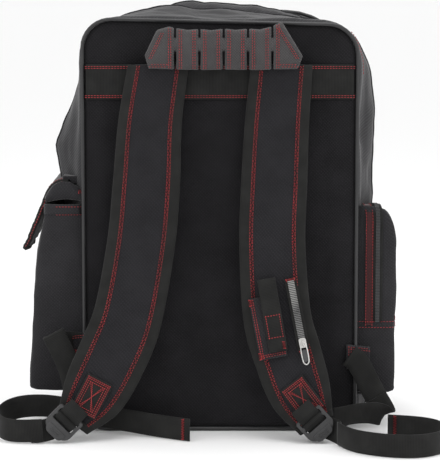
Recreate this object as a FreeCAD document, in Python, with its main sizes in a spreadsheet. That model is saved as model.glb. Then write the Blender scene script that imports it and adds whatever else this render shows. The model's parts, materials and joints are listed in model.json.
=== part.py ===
# A padded backpack that stands on its base, seen from its harness side along +Y.
# Millimetres, +X right, +Z up, origin at the middle of the base on the ground.
import FreeCAD, Part
import Sketcher
import math
import os
import re

from FreeCAD import Placement, Rotation, Vector

doc = FreeCAD.newDocument("backpack")
sheet = doc.addObject("Spreadsheet::Sheet", "sizes")

SIZES = {
    # body
    "back_face": 95, "panel_width": 296, "panel_height": 451, "panel_thick": 4,
    "panel_corner": 30, "low_corner": 22, "belly_place": 25, "belly_width": 342,
    "belly_height": 466, "belly_corner": 92, "crown_place": 40, "crown_width": 334,
    "crown_height": 471, "crown_corner": 96, "shell_front": 88, "front_width": 318,
    "front_height": 460, "front_corner": 84, "shell_wall": 2.4, "side_cut": 100,
    "base_thick": 3, "seam_gap": 0.4, "piping_width": 4.4,
    # inner structure
    "foam_thick": 10, "stiffener_thick": 1.6, "board_thick": 3, "liner_inset": 6,
    "sleeve_height": 320, "sleeve_gap": 22, "sleeve_thick": 3,
    # front opening
    "sill_height": 34, "cover_thick": 3, "tape_width": 14, "tape_thick": 1.2,
    "tape_gap": 1, "coil_width": 6, "coil_thick": 2.4, "sill_thick": 2.6,
    "front_pocket_width": 230, "front_pocket_low": 52, "front_pocket_high": 250,
    "front_pocket_deep": 26, "pocket_wall": 2.2, "front_zip_inset": 23,
    # harness
    "yoke_width": 38, "yoke_drop": 82, "webbing_thick": 1.8, "yoke_lift": 1.6,
    "strap_thick": 12, "binding_thick": 7, "binding_width": 11, "strap_drop": 56,
    "adjuster_width": 25, "tab_width": 30, "tab_length": 42,
    "left_wing_height": 98, "right_wing_height": 84, "wing_reach": 18, "wing_tall": 28,
    "wing_thick": 2.4,
    "buckle_width": 34, "buckle_length": 30, "buckle_thick": 4.4, "buckle_slot": 5,
    "buckle_bar": 3.6, "buckle_rim": 3.6, "buckle_stand": 62,
    "tail_width": 25, "tail_lift": 1, "strap_zip_width": 12, "strap_zip_length": 82,
    # haul handle
    "handle_centre": 4, "handle_drop": 49, "handle_tall": 45, "handle_half": 85,
    "handle_thick": 9, "handle_stand": 17, "slit_pitch": 26.2, "slit_wide": 3,
    "slit_top": 13, "slit_low": 22, "anchor_width": 13, "swing_gap": 3.4,
    # side pockets
    "pocket_rear": 84, "pocket_fore": 50, "left_pocket_low": 45,
    "left_pocket_high": 250, "left_top_stand": 21, "left_low_stand": 38,
    "right_pocket_low": 41, "right_pocket_high": 250, "right_top_stand": 9,
    "right_mid_stand": 25, "right_mid_height": 190, "side_zip_inset": 1,
    "side_zip_width": 9, "side_zip_low": 122, "pocket_root": 8,
    "flap_root_stand": 5, "flap_root_z": 279, "flap_tip_stand": 43, "flap_tip_z": 203,
    "flap_thick": 4, "flap_crest_stand": 18, "flap_crest_z": 274,
    "flap_seam_reach": 30,
    # zipper sliders
    "slider_width": 8, "slider_length": 11, "slider_thick": 2.8, "arch_width": 2.4,
    "arch_length": 7, "arch_rise": 4.2, "bar_radius": 0.8, "puller_length": 24,
    "puller_width": 7, "puller_thick": 1.2, "puller_reach": 5.4,
}


def fill_sheet():
    """Each driving dimension is one named cell that holds a plain number."""
    for row, (name, value) in enumerate(SIZES.items(), start=1):
        sheet.set(f"A{row}", name)
        sheet.set(f"B{row}", str(value))
        sheet.setAlias(f"B{row}", name)
    doc.recompute()


def bound(text):
    """A formula in the sheet's own names, as the document reads it."""
    return re.sub(r"\b([a-z][a-z_]*)\b", r"sizes.\1", str(text))


def number(text):
    """The value that a formula has now."""
    found = sheet.evalExpression(bound(text))
    return float(getattr(found, "Value", found))


fill_sheet()

# Places that follow the panel, the belly or the front pocket, as formulas.
PANEL_SIDE = "(panel_width / 2)"
BELLY_SIDE = "(belly_width / 2)"
YOKE_LOW = "(panel_height - yoke_drop)"
HANDLE_LOW = "(panel_height - handle_drop)"
HANDLE_HIGH = "(panel_height - handle_drop + handle_tall)"
LEFT_TOP = f"({BELLY_SIDE} + left_top_stand)"
LEFT_LOW = f"({BELLY_SIDE} + left_low_stand)"
RIGHT_TOP = f"({BELLY_SIDE} + right_top_stand)"
RIGHT_MID = f"({BELLY_SIDE} + right_mid_stand)"
POCKET_ROOT = f"({PANEL_SIDE} - pocket_root)"
SIDE_ZIP_X = f"({BELLY_SIDE} - side_zip_inset)"
FLAP_ROOT = f"({BELLY_SIDE} + flap_root_stand)"
FLAP_CREST = f"({BELLY_SIDE} + flap_crest_stand)"
FLAP_TIP = f"({BELLY_SIDE} + flap_tip_stand)"
FRONT_ZIP_X = "(front_pocket_width / 2 - front_zip_inset)"


# ---------------------------------------------------------------- sketch helpers

def fix(sketch, kind, where, formula):
    """A dimension on a sketch, tied to the sheet."""
    index = sketch.addConstraint(Sketcher.Constraint(kind, *where, number(formula)))
    sketch.setExpression(f"Constraints[{index}]", bound(formula))


def outline(sketch, points):
    """A closed outline of straight sides; each corner is a pair of formulas."""
    spots = [Vector(number(x), number(y), 0) for x, y in points]
    count = len(spots)
    for i in range(count):
        sketch.addGeometry(Part.LineSegment(spots[i], spots[(i + 1) % count]), False)
    for i in range(count):
        sketch.addConstraint(Sketcher.Constraint("Coincident", i, 2, (i + 1) % count, 1))
    for i, (x, y) in enumerate(points):
        fix(sketch, "DistanceX", (-1, 1, i, 1), x)
        fix(sketch, "DistanceY", (-1, 1, i, 1), y)


def rounded(sketch, left, right, low, high, low_radius, high_radius):
    """A rectangle with round corners, each number a formula."""
    x0, x1, z0, z1 = number(left), number(right), number(low), number(high)
    small, big = number(low_radius), number(high_radius)
    turns = [(x1 - small, z0 + small, small, -90), (x1 - big, z1 - big, big, 0),
             (x0 + big, z1 - big, big, 90), (x0 + small, z0 + small, small, 180)]
    sides = [((x0 + small, z0), (x1 - small, z0)), ((x1, z0 + small), (x1, z1 - big)),
             ((x1 - big, z1), (x0 + big, z1)), ((x0, z1 - big), (x0, z0 + small))]
    for (start, end), (x, z, radius, angle) in zip(sides, turns):
        sketch.addGeometry(Part.LineSegment(Vector(*start, 0), Vector(*end, 0)), False)
        ring = Part.Circle(Vector(x, z, 0), Vector(0, 0, 1), radius)
        first = math.radians(angle)
        sketch.addGeometry(Part.ArcOfCircle(ring, first, first + math.pi / 2), False)
    for i in range(8):
        sketch.addConstraint(Sketcher.Constraint("Tangent", i, 2, (i + 1) % 8, 1))
    for i in (0, 4):
        sketch.addConstraint(Sketcher.Constraint("Horizontal", i))
    for i in (2, 6):
        sketch.addConstraint(Sketcher.Constraint("Vertical", i))
    fix(sketch, "Radius", (1,), low_radius)
    fix(sketch, "Radius", (3,), high_radius)
    fix(sketch, "Radius", (5,), high_radius)
    fix(sketch, "Radius", (7,), low_radius)
    fix(sketch, "DistanceY", (-1, 1, 0, 1), low)
    fix(sketch, "DistanceX", (-1, 1, 2, 1), right)
    fix(sketch, "DistanceY", (-1, 1, 4, 1), high)
    fix(sketch, "DistanceX", (-1, 1, 6, 1), left)


def slab(label, plane, start, end, draw, *draws):
    """A body padded from start to end along its plane's axis, less any cut-outs."""
    body = doc.addObject("PartDesign::Body", label)
    for step, shape in enumerate((draw,) + draws):
        sketch = body.newObject("Sketcher::SketchObject", f"{label}_sketch_{step}")
        support = [one for one in body.Origin.OriginFeatures if one.Role == plane][0]
        sketch.AttachmentSupport = (support, [""])
        sketch.MapMode = "FlatFace"
        # the XZ plane looks along -Y, so its pad starts at the far end
        begin = f"-({end})" if plane == "XZ_Plane" else start
        sketch.setExpression("AttachmentOffset.Base.z", bound(begin))
        shape(sketch)
        if step == 0:
            feature = body.newObject("PartDesign::Pad", f"{label}_pad")
        else:
            feature = body.newObject("PartDesign::Pocket", f"{label}_cut_{step}")
            feature.Reversed = True
        feature.Profile = sketch
        feature.setExpression("Length", bound(f"({end}) - ({start})"))
        doc.recompute()
        if step and body.Shape.Volume >= before:
            raise RuntimeError(f"{label}: the cut-out removes nothing")
        before = body.Shape.Volume
    return body


def block(label, x, y, z, length, width, height):
    """A box at a corner, each number a formula."""
    box = doc.addObject("Part::Box", label)
    for name, text in zip(("Length", "Width", "Height"), (length, width, height)):
        box.setExpression(name, bound(text))
    for name, text in zip("xyz", (x, y, z)):
        box.setExpression(f"Placement.Base.{name}", bound(text))
    return box


def boolean(kind, label, base, tool):
    """One boolean of two objects: Cut, Common or Fuse."""
    made = doc.addObject(f"Part::{kind}", label)
    made.Base = base
    made.Tool = tool
    return made


def loft(label, sections):
    """A solid through its sections, in order."""
    made = doc.addObject("Part::Loft", label)
    made.Sections = sections
    made.Solid = True
    made.Ruled = False
    return made


PARTS = []


def part(thing, label=None):
    """Mark an object as a sub-part; its Label names its file."""
    if label:
        thing.Label = label
    PARTS.append(thing)
    return thing


# ---------------------------------------------------------------- body shell

STATIONS = [("-(back_face - panel_thick)", "panel_width", "panel_height", "panel_corner"),
            ("-belly_place", "belly_width", "belly_height", "belly_corner"),
            ("crown_place", "crown_width", "crown_height", "crown_corner"),
            ("shell_front", "front_width", "front_height", "front_corner")]


def station(label, y, width, height, corner, inset):
    """The body's outline at one depth, drawn in by an inset."""
    sketch = doc.addObject("Sketcher::SketchObject", label)
    sketch.Placement = Placement(Vector(0, 0, 0), Rotation(Vector(1, 0, 0), 90))
    sketch.setExpression("Placement.Base.y", bound(y))
    rounded(sketch, f"-({width}) / 2 + {inset}", f"({width}) / 2 - {inset}",
            f"base_thick + {inset}", f"{height} - {inset}",
            f"low_corner - {inset}", f"{corner} - {inset}")
    return sketch


def body_volume(label, inset):
    return loft(label, [station(f"{label}_{i}", *row, inset)
                        for i, row in enumerate(STATIONS)])


def panel_outline(inset, lift="0"):
    """The back panel's outline, drawn in by an inset."""
    def draw(sketch):
        rounded(sketch, f"-panel_width / 2 + {inset}", f"panel_width / 2 - {inset}",
                f"base_thick + {inset} + {lift}", f"panel_height - {inset}",
                f"low_corner - {inset}", f"panel_corner - {inset}")
    return draw


def front_outline(inset, low):
    """The front opening's outline from a given height up, with a square foot."""
    def draw(sketch):
        rounded(sketch, f"-front_width / 2 + {inset}", f"front_width / 2 - {inset}", low,
                f"front_height - {inset}", "1", f"front_corner - {inset}")
    return draw


outer = body_volume("body_outer", "0")
inner = body_volume("body_inner", "shell_wall")
shell = boolean("Cut", "body_shell", outer, inner)
SPAN = ("-back_face", "back_face + shell_front")
part(boolean("Common", "left_gusset", shell,
             block("left_region", "-belly_width", SPAN[0], "0",
                   "belly_width - side_cut", SPAN[1], "2 * crown_height")))
part(boolean("Common", "right_gusset", shell,
             block("right_region", "side_cut", SPAN[0], "0",
                   "belly_width - side_cut", SPAN[1], "2 * crown_height")))
part(boolean("Common", "top_gusset", shell,
             block("top_region", "-side_cut", SPAN[0], "side_cut",
                   "2 * side_cut", SPAN[1], "2 * crown_height")))
part(boolean("Common", "base_lining", shell,
             block("base_region", "-side_cut", SPAN[0], "0",
                   "2 * side_cut", SPAN[1], "side_cut")))


def base_outline(sketch):
    rounded(sketch, "-(front_width / 2 - low_corner)", "front_width / 2 - low_corner",
            "-(back_face - panel_thick)", "shell_front", "8", "8")


part(slab("base_panel", "XY_Plane", "0", "base_thick", base_outline))
part(slab("back_panel_cover", "XZ_Plane", "-back_face", "-(back_face - panel_thick)",
          panel_outline("0")))
part(slab("back_piping", "XZ_Plane", "-(back_face + piping_width / 2)",
          "-(back_face - piping_width / 2)",
          panel_outline("(-piping_width)"), panel_outline("0")))
FOAM_BACK = "-(back_face - panel_thick - foam_thick)"
STIFF_BACK = f"{FOAM_BACK} + stiffener_thick"
part(slab("back_foam", "XZ_Plane", "-(back_face - panel_thick)", FOAM_BACK,
          panel_outline("(shell_wall + seam_gap)")))
part(slab("frame_sheet", "XZ_Plane", FOAM_BACK, STIFF_BACK, panel_outline("liner_inset")))


def sleeve_outline(sketch):
    rounded(sketch, "-panel_width / 2 + liner_inset", "panel_width / 2 - liner_inset",
            "base_thick + shell_wall + board_thick + seam_gap", "sleeve_height",
            "low_corner - liner_inset", "12")


part(slab("laptop_sleeve", "XZ_Plane", f"{STIFF_BACK} + sleeve_gap",
          f"{STIFF_BACK} + sleeve_gap + sleeve_thick", sleeve_outline))


def board_outline(sketch):
    rounded(sketch, "-(side_cut + liner_inset)", "side_cut + liner_inset",
            f"{STIFF_BACK} + seam_gap", f"{STIFF_BACK} + sleeve_gap - seam_gap", "2", "2")


def floor_board_outline(sketch):
    rounded(sketch, "-(side_cut + liner_inset)", "side_cut + liner_inset",
            f"{STIFF_BACK} + sleeve_gap + sleeve_thick + seam_gap",
            "shell_front - liner_inset", "2", "2")


part(slab("base_board", "XY_Plane", "base_thick + shell_wall",
          "base_thick + shell_wall + board_thick", floor_board_outline))
part(slab("sleeve_pad", "XY_Plane", "base_thick + shell_wall",
          "base_thick + shell_wall + board_thick", board_outline))

# ---------------------------------------------------------------- front opening

SILL = "sill_height"
part(slab("front_sill", "XZ_Plane", "shell_front", "shell_front + sill_thick",
          lambda sketch: rounded(sketch, "-front_width / 2", "front_width / 2",
                                 "base_thick", SILL, "low_corner - 6", "1")))
TAPE_FOOT = "sill_height + tape_gap"
OPENING_INSET = "(tape_width + tape_gap)"
part(slab("main_zip_gusset_tape", "XZ_Plane", "shell_front", "shell_front + tape_thick",
          front_outline("0", TAPE_FOOT),
          lambda sketch: rounded(sketch, "-front_width / 2 + tape_width",
                                 "front_width / 2 - tape_width", "1",
                                 "front_height - tape_width", "0.5",
                                 "front_corner - tape_width")))
part(slab("front_cover_panel", "XZ_Plane", "shell_front", "shell_front + cover_thick",
          front_outline(OPENING_INSET, "sill_height + 2 * tape_gap")))
COVER_FACE = "shell_front + cover_thick"
part(slab("main_zip_coil", "XZ_Plane", COVER_FACE, f"{COVER_FACE} + coil_thick",
          front_outline("(tape_width - coil_width / 2)", "2 * sill_height"),
          lambda sketch: rounded(sketch, "-front_width / 2 + tape_width + coil_width / 2",
                                 "front_width / 2 - tape_width - coil_width / 2", "1",
                                 "front_height - tape_width - coil_width / 2", "0.5",
                                 "front_corner - tape_width - coil_width / 2")))


def front_pocket_outline(inset):
    def draw(sketch):
        rounded(sketch, f"-front_pocket_width / 2 + {inset}",
                f"front_pocket_width / 2 - {inset}", f"front_pocket_low + {inset}",
                f"front_pocket_high - {inset}", "12", "20")
    return draw


POCKET_FACE = f"{COVER_FACE} + front_pocket_deep"
part(slab("front_pocket_gusset", "XZ_Plane", COVER_FACE, f"{POCKET_FACE} - pocket_wall",
          front_pocket_outline("0"), front_pocket_outline("pocket_wall")))
part(slab("front_pocket_face", "XZ_Plane", f"{POCKET_FACE} - pocket_wall", POCKET_FACE,
          front_pocket_outline("0")))
part(slab("front_pocket_zipper", "XZ_Plane", POCKET_FACE, f"{POCKET_FACE} + tape_thick",
          lambda sketch: rounded(sketch, f"{FRONT_ZIP_X} - coil_width",
                                 f"{FRONT_ZIP_X} + coil_width", "front_pocket_low + 15",
                                 "front_pocket_high - 15", "2", "2")))

# ---------------------------------------------------------------- back panel webbing

YOKE_FACE = "-(back_face + yoke_lift + webbing_thick)"
part(slab("yoke_band", "XZ_Plane", YOKE_FACE, "-(back_face + yoke_lift)",
          lambda sketch: rounded(sketch, "-panel_width / 2 + 1", "panel_width / 2 - 1",
                                 YOKE_LOW, f"{YOKE_LOW} + yoke_width", "1", "1")))


def wing(side):
    """A sewn wing at the panel's lower edge, which anchors an adjuster."""
    sign = -1 if side == "left" else 1
    root, tip = f"{sign} * {POCKET_ROOT}", f"{sign} * ({PANEL_SIDE} + wing_reach)"
    height = f"{side}_wing_height"
    return slab(f"{side}_lower_wing", "XZ_Plane", "-(back_face + 2.6 + wing_thick)",
                "-(back_face + 2.6)",
                lambda sketch: outline(sketch, [
                    (root, f"{height} - wing_tall / 2"), (tip, f"{height} - wing_tall / 2 + 5"),
                    (tip, f"{height} + wing_tall / 2 - 3"), (root, f"{height} + wing_tall / 2")]))


for side in ("left", "right"):
    part(wing(side))

# ---------------------------------------------------------------- side pockets

POCKET_SPAN = ("-pocket_rear", "pocket_fore")
POCKET_INNER = ("-pocket_rear + pocket_wall", "pocket_fore - pocket_wall")


def side_pocket(label, walls, hollow, face):
    """A pocket's gusset, cut to the body's side, and its face."""
    whole = slab(f"{label}_block", "XZ_Plane", *POCKET_SPAN,
                 lambda sketch: outline(sketch, walls))
    space = slab(f"{label}_space", "XZ_Plane", *POCKET_INNER,
                 lambda sketch: outline(sketch, hollow))
    hollowed = boolean("Cut", f"{label}_hollowed", whole, space)
    part(boolean("Cut", f"{label}_gusset", hollowed, outer))
    part(slab(f"{label}_face", "XZ_Plane", *POCKET_SPAN,
              lambda sketch: outline(sketch, face)))


side_pocket("left_pocket",
            [(f"-{POCKET_ROOT}", "left_pocket_low"),
             (f"-{LEFT_LOW} + pocket_wall", "left_pocket_low"),
             (f"-{LEFT_TOP} + pocket_wall", "left_pocket_high"),
             (f"-{POCKET_ROOT}", "left_pocket_high")],
            [(f"-{POCKET_ROOT} + 10", "left_pocket_low + pocket_wall"),
             (f"-{LEFT_LOW}", "left_pocket_low + pocket_wall"),
             (f"-{LEFT_TOP}", "left_pocket_high + 9"),
             (f"-{POCKET_ROOT} + 10", "left_pocket_high + 9")],
            [(f"-{LEFT_LOW} + pocket_wall", "left_pocket_low"),
             (f"-{LEFT_LOW}", "left_pocket_low"),
             (f"-{LEFT_TOP}", "left_pocket_high"),
             (f"-{LEFT_TOP} + pocket_wall", "left_pocket_high")])
side_pocket("right_pocket",
            [(POCKET_ROOT, "right_pocket_low"),
             (f"{RIGHT_MID} - pocket_wall", "right_pocket_low"),
             (f"{RIGHT_MID} - pocket_wall", "right_mid_height"),
             (f"{RIGHT_TOP} - pocket_wall", "right_pocket_high"),
             (POCKET_ROOT, "right_pocket_high")],
            [(f"{POCKET_ROOT} - 10", "right_pocket_low + pocket_wall"),
             (RIGHT_MID, "right_pocket_low + pocket_wall"), (RIGHT_MID, "right_mid_height"),
             (RIGHT_TOP, "right_pocket_high - pocket_wall"),
             (f"{POCKET_ROOT} - 10", "right_pocket_high - pocket_wall")],
            [(f"{RIGHT_MID} - pocket_wall", "right_pocket_low"),
             (RIGHT_MID, "right_pocket_low"), (RIGHT_MID, "right_mid_height"),
             (RIGHT_TOP, "right_pocket_high"),
             (f"{RIGHT_TOP} - pocket_wall", "right_pocket_high"),
             (f"{RIGHT_MID} - pocket_wall", "right_mid_height")])


def side_zip_outline(sketch):
    """An inverted U over the pocket's top, down its rear and its front."""
    outline(sketch, [
        ("-pocket_rear - tape_thick", "side_zip_low"),
        ("-pocket_rear - tape_thick", "right_pocket_high + tape_thick"),
        ("pocket_fore + tape_thick", "right_pocket_high + tape_thick"),
        ("pocket_fore + tape_thick", "side_zip_low"), ("pocket_fore", "side_zip_low"),
        ("pocket_fore", "right_pocket_high"), ("-pocket_rear", "right_pocket_high"),
        ("-pocket_rear", "side_zip_low")])


side_zip_band = slab("side_zip_band", "YZ_Plane", SIDE_ZIP_X,
                     f"{SIDE_ZIP_X} + side_zip_width", side_zip_outline)
part(boolean("Cut", "right_pocket_zipper", side_zip_band, outer))
# the allowance stops short of the flap, so that the flap can turn about its root
FLAP_GAP = f"-{FLAP_ROOT} + flap_thick / 2 + seam_gap"
FLAP_SPAN = ("-(pocket_rear - 8)", "pocket_fore - 4")
part(slab("pocket_flap", "XZ_Plane", *FLAP_SPAN,
          lambda sketch: outline(sketch, [
              (f"-{FLAP_ROOT}", "flap_root_z - flap_thick / 2"),
              (f"-{FLAP_ROOT}", "flap_root_z + flap_thick / 2"),
              (f"-{FLAP_CREST}", "flap_crest_z + flap_thick / 2"),
              (f"-{FLAP_TIP} - flap_thick / 2", "flap_tip_z"),
              (f"-{FLAP_TIP} + flap_thick / 2", "flap_tip_z - 1"),
              (f"-{FLAP_CREST} + flap_thick / 2", "flap_crest_z - flap_thick / 2")])))
flap_allowance = slab("flap_allowance", "XZ_Plane", *FLAP_SPAN,
                      lambda sketch: outline(sketch, [
                          (f"-{FLAP_ROOT} + flap_seam_reach", "flap_root_z + flap_thick"),
                          (FLAP_GAP, "flap_root_z + flap_thick"),
                          (FLAP_GAP, "flap_root_z - flap_thick"),
                          (f"-{FLAP_ROOT} + flap_seam_reach", "flap_root_z - flap_thick")]))
part(boolean("Cut", "flap_seam", flap_allowance, outer))

# ---------------------------------------------------------------- haul handle

HANDLE_FACE = "-(back_face + handle_stand + handle_thick)"
HANDLE_BACK = "-(back_face + handle_stand)"


def handle_outline(sketch):
    """Two wings that slope down to pointed tips, with a straight bar between."""
    outline(sketch, [
        ("handle_centre - handle_half", f"{HANDLE_LOW} + 9"),
        ("handle_centre - handle_half + 5", HANDLE_LOW),
        ("handle_centre + handle_half - 5", HANDLE_LOW),
        ("handle_centre + handle_half", f"{HANDLE_LOW} + 9"),
        ("handle_centre + handle_half - 21", f"{HANDLE_HIGH} + 5"),
        ("handle_centre + handle_half - 29", HANDLE_HIGH),
        ("handle_centre - handle_half + 29", HANDLE_HIGH),
        ("handle_centre - handle_half + 17", f"{HANDLE_HIGH} - 1")])


def slit_outline(place, low, high):
    def draw(sketch):
        left = f"handle_centre + {place} * slit_pitch - slit_wide / 2"
        outline(sketch, [(left, low), (f"{left} + slit_wide", low),
                         (f"{left} + slit_wide", high), (left, high)])
    return draw


SLITS = []
for place in range(-2, 3):
    SLITS.append(slit_outline(place, f"{HANDLE_HIGH} - slit_top", f"{HANDLE_HIGH} + 9"))
    SLITS.append(slit_outline(place, f"{HANDLE_LOW} - 9", f"{HANDLE_LOW} + slit_low"))
part(slab("haul_handle_grip", "XZ_Plane", HANDLE_FACE, HANDLE_BACK, handle_outline, *SLITS))
for side, sign in (("left", -1), ("right", 1)):
    middle = f"handle_centre + {sign} * (handle_half - 10)"
    part(block(f"{side}_handle_anchor", f"{middle} - anchor_width / 2",
               f"{HANDLE_BACK} + swing_gap", f"{HANDLE_LOW} + 5", "anchor_width",
               "handle_stand - swing_gap", "9"))

# ---------------------------------------------------------------- shoulder straps

# Each row is height, middle across, stand-off from the panel, width, thickness, turn in
# degrees. The heights stretch with the panel; the first row is strap_drop below its top.
STRAP_PLAN = {
    "left": [(395, -68, 10.4, 66, 12, 0), (345, -76, 12.5, 69, 12, 3),
             (279, -80, 17, 73, 12, 4), (213, -86, 23, 74, 12, 9),
             (136, -100, 32, 75, 12, 18), (92, -117, 39, 76, 11, 28),
             (52, -138, 47, 70, 10, 36), (22, -160, 52, 42, 9, 42)],
    "right": [(395, 67, 10.4, 67, 12, 0), (345, 62, 12.5, 70, 12, -3),
              (279, 59, 17, 72, 12, -2), (213, 57, 23, 72, 12, 0),
              (136, 62, 32, 74, 12, -10), (92, 74, 39, 74, 11, -20),
              (52, 88, 47, 68, 10, -26), (18, 105, 52, 42, 9, -32)],
}
LOW_ROW = 136
PLAN_THICK = 12


def placed_rows(plan):
    """The rows above the strap's bend rise with the panel. All keep their backs where they
    are when the pad's thickness changes, so that they stay clear of the yoke band."""
    top = number("panel_height - strap_drop")
    stretch = (top - LOW_ROW) / (plan[0][0] - LOW_ROW)
    extra = number("strap_thick") / PLAN_THICK - 1
    return [(LOW_ROW + (height - LOW_ROW) * stretch if height > LOW_ROW else height, across,
             -(number("back_face") + stand + extra * thick / 2), width, thick, turn)
            for height, across, stand, width, thick, turn in plan]


STRAP_ROWS = {side: placed_rows(plan) for side, plan in STRAP_PLAN.items()}


def cross_section(label, row, trim, thickness):
    """A flat rectangle across a strap, square to its run in the front view."""
    height, across, depth, width, thick, turn = row
    sketch = doc.addObject("Sketcher::SketchObject", label)
    sketch.Placement = Placement(Vector(across, depth, height),
                                 Rotation(Vector(0, 1, 0), turn))
    half = f"({width} / 2 - {trim})"
    deep = f"{thickness} * {thick} / 24"
    outline(sketch, [(f"-{half}", f"-{deep}"), (half, f"-{deep}"), (half, deep),
                     (f"-{half}", deep)])
    return sketch


def strap_volume(label, side, trim, thickness):
    rows = STRAP_ROWS[side]
    return loft(label, [cross_section(f"{label}_{i}", row, trim, thickness)
                        for i, row in enumerate(rows)])


for side in ("left", "right"):
    pad = strap_volume(f"{side}_strap_pad", side, "binding_width", "strap_thick")
    whole = strap_volume(f"{side}_strap_whole", side, "0", "binding_thick")
    part(pad)
    part(boolean("Cut", f"{side}_strap_binding", whole, pad))


def point_on_strap(side, height):
    """The strap's middle, half thickness and turn at a height."""
    rows = STRAP_ROWS[side]
    for upper, lower in zip(rows, rows[1:]):
        if upper[0] >= height >= lower[0]:
            share = (upper[0] - height) / (upper[0] - lower[0])
            mixed = [a + share * (b - a) for a, b in zip(upper, lower)]
            lean = math.degrees(math.atan2(upper[2] - lower[2], upper[0] - lower[0]))
            half = mixed[4] / 2 * number("strap_thick") / PLAN_THICK
            return mixed[1], mixed[2], half, mixed[5], lean
    raise ValueError(f"no strap at {height}")


def plate_at(label, centre, width, thickness, length, turn, lean):
    """A thin plate about a centre, turned in the front view and leant in depth."""
    box = doc.addObject("Part::Box", label)
    box.setExpression("Length", bound(width))
    box.setExpression("Width", bound(thickness))
    box.setExpression("Height", bound(length))
    turned = Rotation(Vector(0, 1, 0), turn).multiply(Rotation(Vector(1, 0, 0), -lean))
    half = Vector(-number(width) / 2, -number(thickness) / 2, -number(length) / 2)
    box.Placement = Placement(Vector(*centre) + turned.multVec(half), turned)
    return box


def on_strap(label, side, height, shift, lift, width, thickness, length, turn=None):
    """A plate that lies on a strap's front, shifted across it and lifted off it."""
    across, depth, half, own_turn, lean = point_on_strap(side, height)
    centre = (across + shift, depth - half - lift - number(thickness) / 2, height)
    return plate_at(label, centre, width, thickness, length,
                    own_turn if turn is None else turn, lean)


for side, height, turn in (("left", 50, 28), ("right", 48, -38)):
    part(on_strap(f"{side}_strap_tab", side, height, 0, 1.4, "tab_width", "webbing_thick",
                  "tab_length", turn))

part(on_strap("strap_pocket_panel", "right", 132, -12, 2.4, "30", "1.6", "84", -11))
part(on_strap("strap_pocket_sleeve", "right", 138, -5, 6.4, "20", "webbing_thick", "80", -10))
STRAP_ZIP = {"height": 137, "shift": 22, "lift": 4.4, "turn": -11}
strap_zip = part(on_strap("strap_zip_tape", "right", STRAP_ZIP["height"], STRAP_ZIP["shift"],
                          STRAP_ZIP["lift"], "strap_zip_width", "tape_thick",
                          "strap_zip_length", STRAP_ZIP["turn"]))

# ---------------------------------------------------------------- ladder-lock buckles

# centre across, centre height and turn; the stand-off is the size buckle_stand
BUCKLES = {"left": (-170, 22, 45), "right": (104, 21, -42)}


def buckle(side):
    """A ladder lock: two slots between three bars, and a round thumb tab."""
    label = f"{side}_ladder_lock"
    rim, bar, slot = "buckle_rim", "buckle_bar", "buckle_slot"
    high = "buckle_length / 2"
    inside = f"(buckle_width / 2 - {rim})"

    def frame(sketch):
        rounded(sketch, "-buckle_width / 2", "buckle_width / 2",
                "-buckle_length / 2", high, "9", "3")

    def window(top):
        def draw(sketch):
            outline(sketch, [(f"-{inside}", f"{top} - {slot}"), (inside, f"{top} - {slot}"),
                             (inside, top), (f"-{inside}", top)])
        return draw

    body = slab(label, "XZ_Plane", "-buckle_thick / 2", "buckle_thick / 2", frame,
                window(f"{high} - {bar}"), window(f"{high} - 2 * {bar} - {slot}"))
    across, height, turn = BUCKLES[side]
    centre = Vector(across, -number("back_face + buckle_stand"), height)
    body.Placement = Placement(centre, Rotation(Vector(0, 1, 0), turn))
    return body


for side in ("left", "right"):
    part(buckle(side))

# ---------------------------------------------------------------- adjuster webbing


def run_between(label, start, end):
    """A flat run of webbing from one point to another."""
    start, end = Vector(*start), Vector(*end)
    along = end - start
    box = doc.addObject("Part::Box", label)
    box.setExpression("Length", bound("adjuster_width"))
    box.setExpression("Width", bound("webbing_thick"))
    box.Height = along.Length
    across = along.cross(Vector(0, 1, 0)).normalize()
    turned = Rotation(across, Vector(0, 1, 0), along, "ZYX")
    shift = turned.multVec(Vector(number("adjuster_width") / 2, number("webbing_thick") / 2, 0))
    box.Placement = Placement(start - shift, turned)
    return box


# Each end is a place across, a stand-off from the panel and a height. The first three
# follow the panel's side and the wing's height; the last is under the strap's foot.
EDGE = number(PANEL_SIDE)
LEFT_WING, RIGHT_WING = number("left_wing_height"), number("right_wing_height")
ADJUSTERS = {
    "left": [((-EDGE - 18, 8.5, LEFT_WING - 2), (-EDGE - 38, 11, LEFT_WING + 6)),
             ((-EDGE - 42, 13.6, LEFT_WING - 2), (-160, 38, 38))],
    "right": [((EDGE + 2, 8.5, RIGHT_WING - 2), (EDGE + 24, 17, RIGHT_WING - 42)),
              ((EDGE + 18, 21, RIGHT_WING - 54), (124, 39, 24))],
}
for side, runs in ADJUSTERS.items():
    near, far = [run_between(f"{side}_adjuster_run_{i}",
                             *[(x, -(number("back_face") + stand), z) for x, stand, z in run])
                 for i, run in enumerate(runs)]
    part(boolean("Fuse", f"{side}_adjuster", near, far))

# ---------------------------------------------------------------- free webbing tails

TAILS = {
    "left": [(-192, -160), (-224, -160), (-243, -141), (-243, -115), (-225, -98),
             (-193, -99), (-160, -104), (-128, -108), (-94, -118), (-62, -134), (-33, -150)],
    "right": [(127, -165), (133, -187), (149, -209), (177, -225), (207, -229), (232, -213),
              (243, -184), (237, -153), (213, -134), (184, -128)],
}


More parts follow.
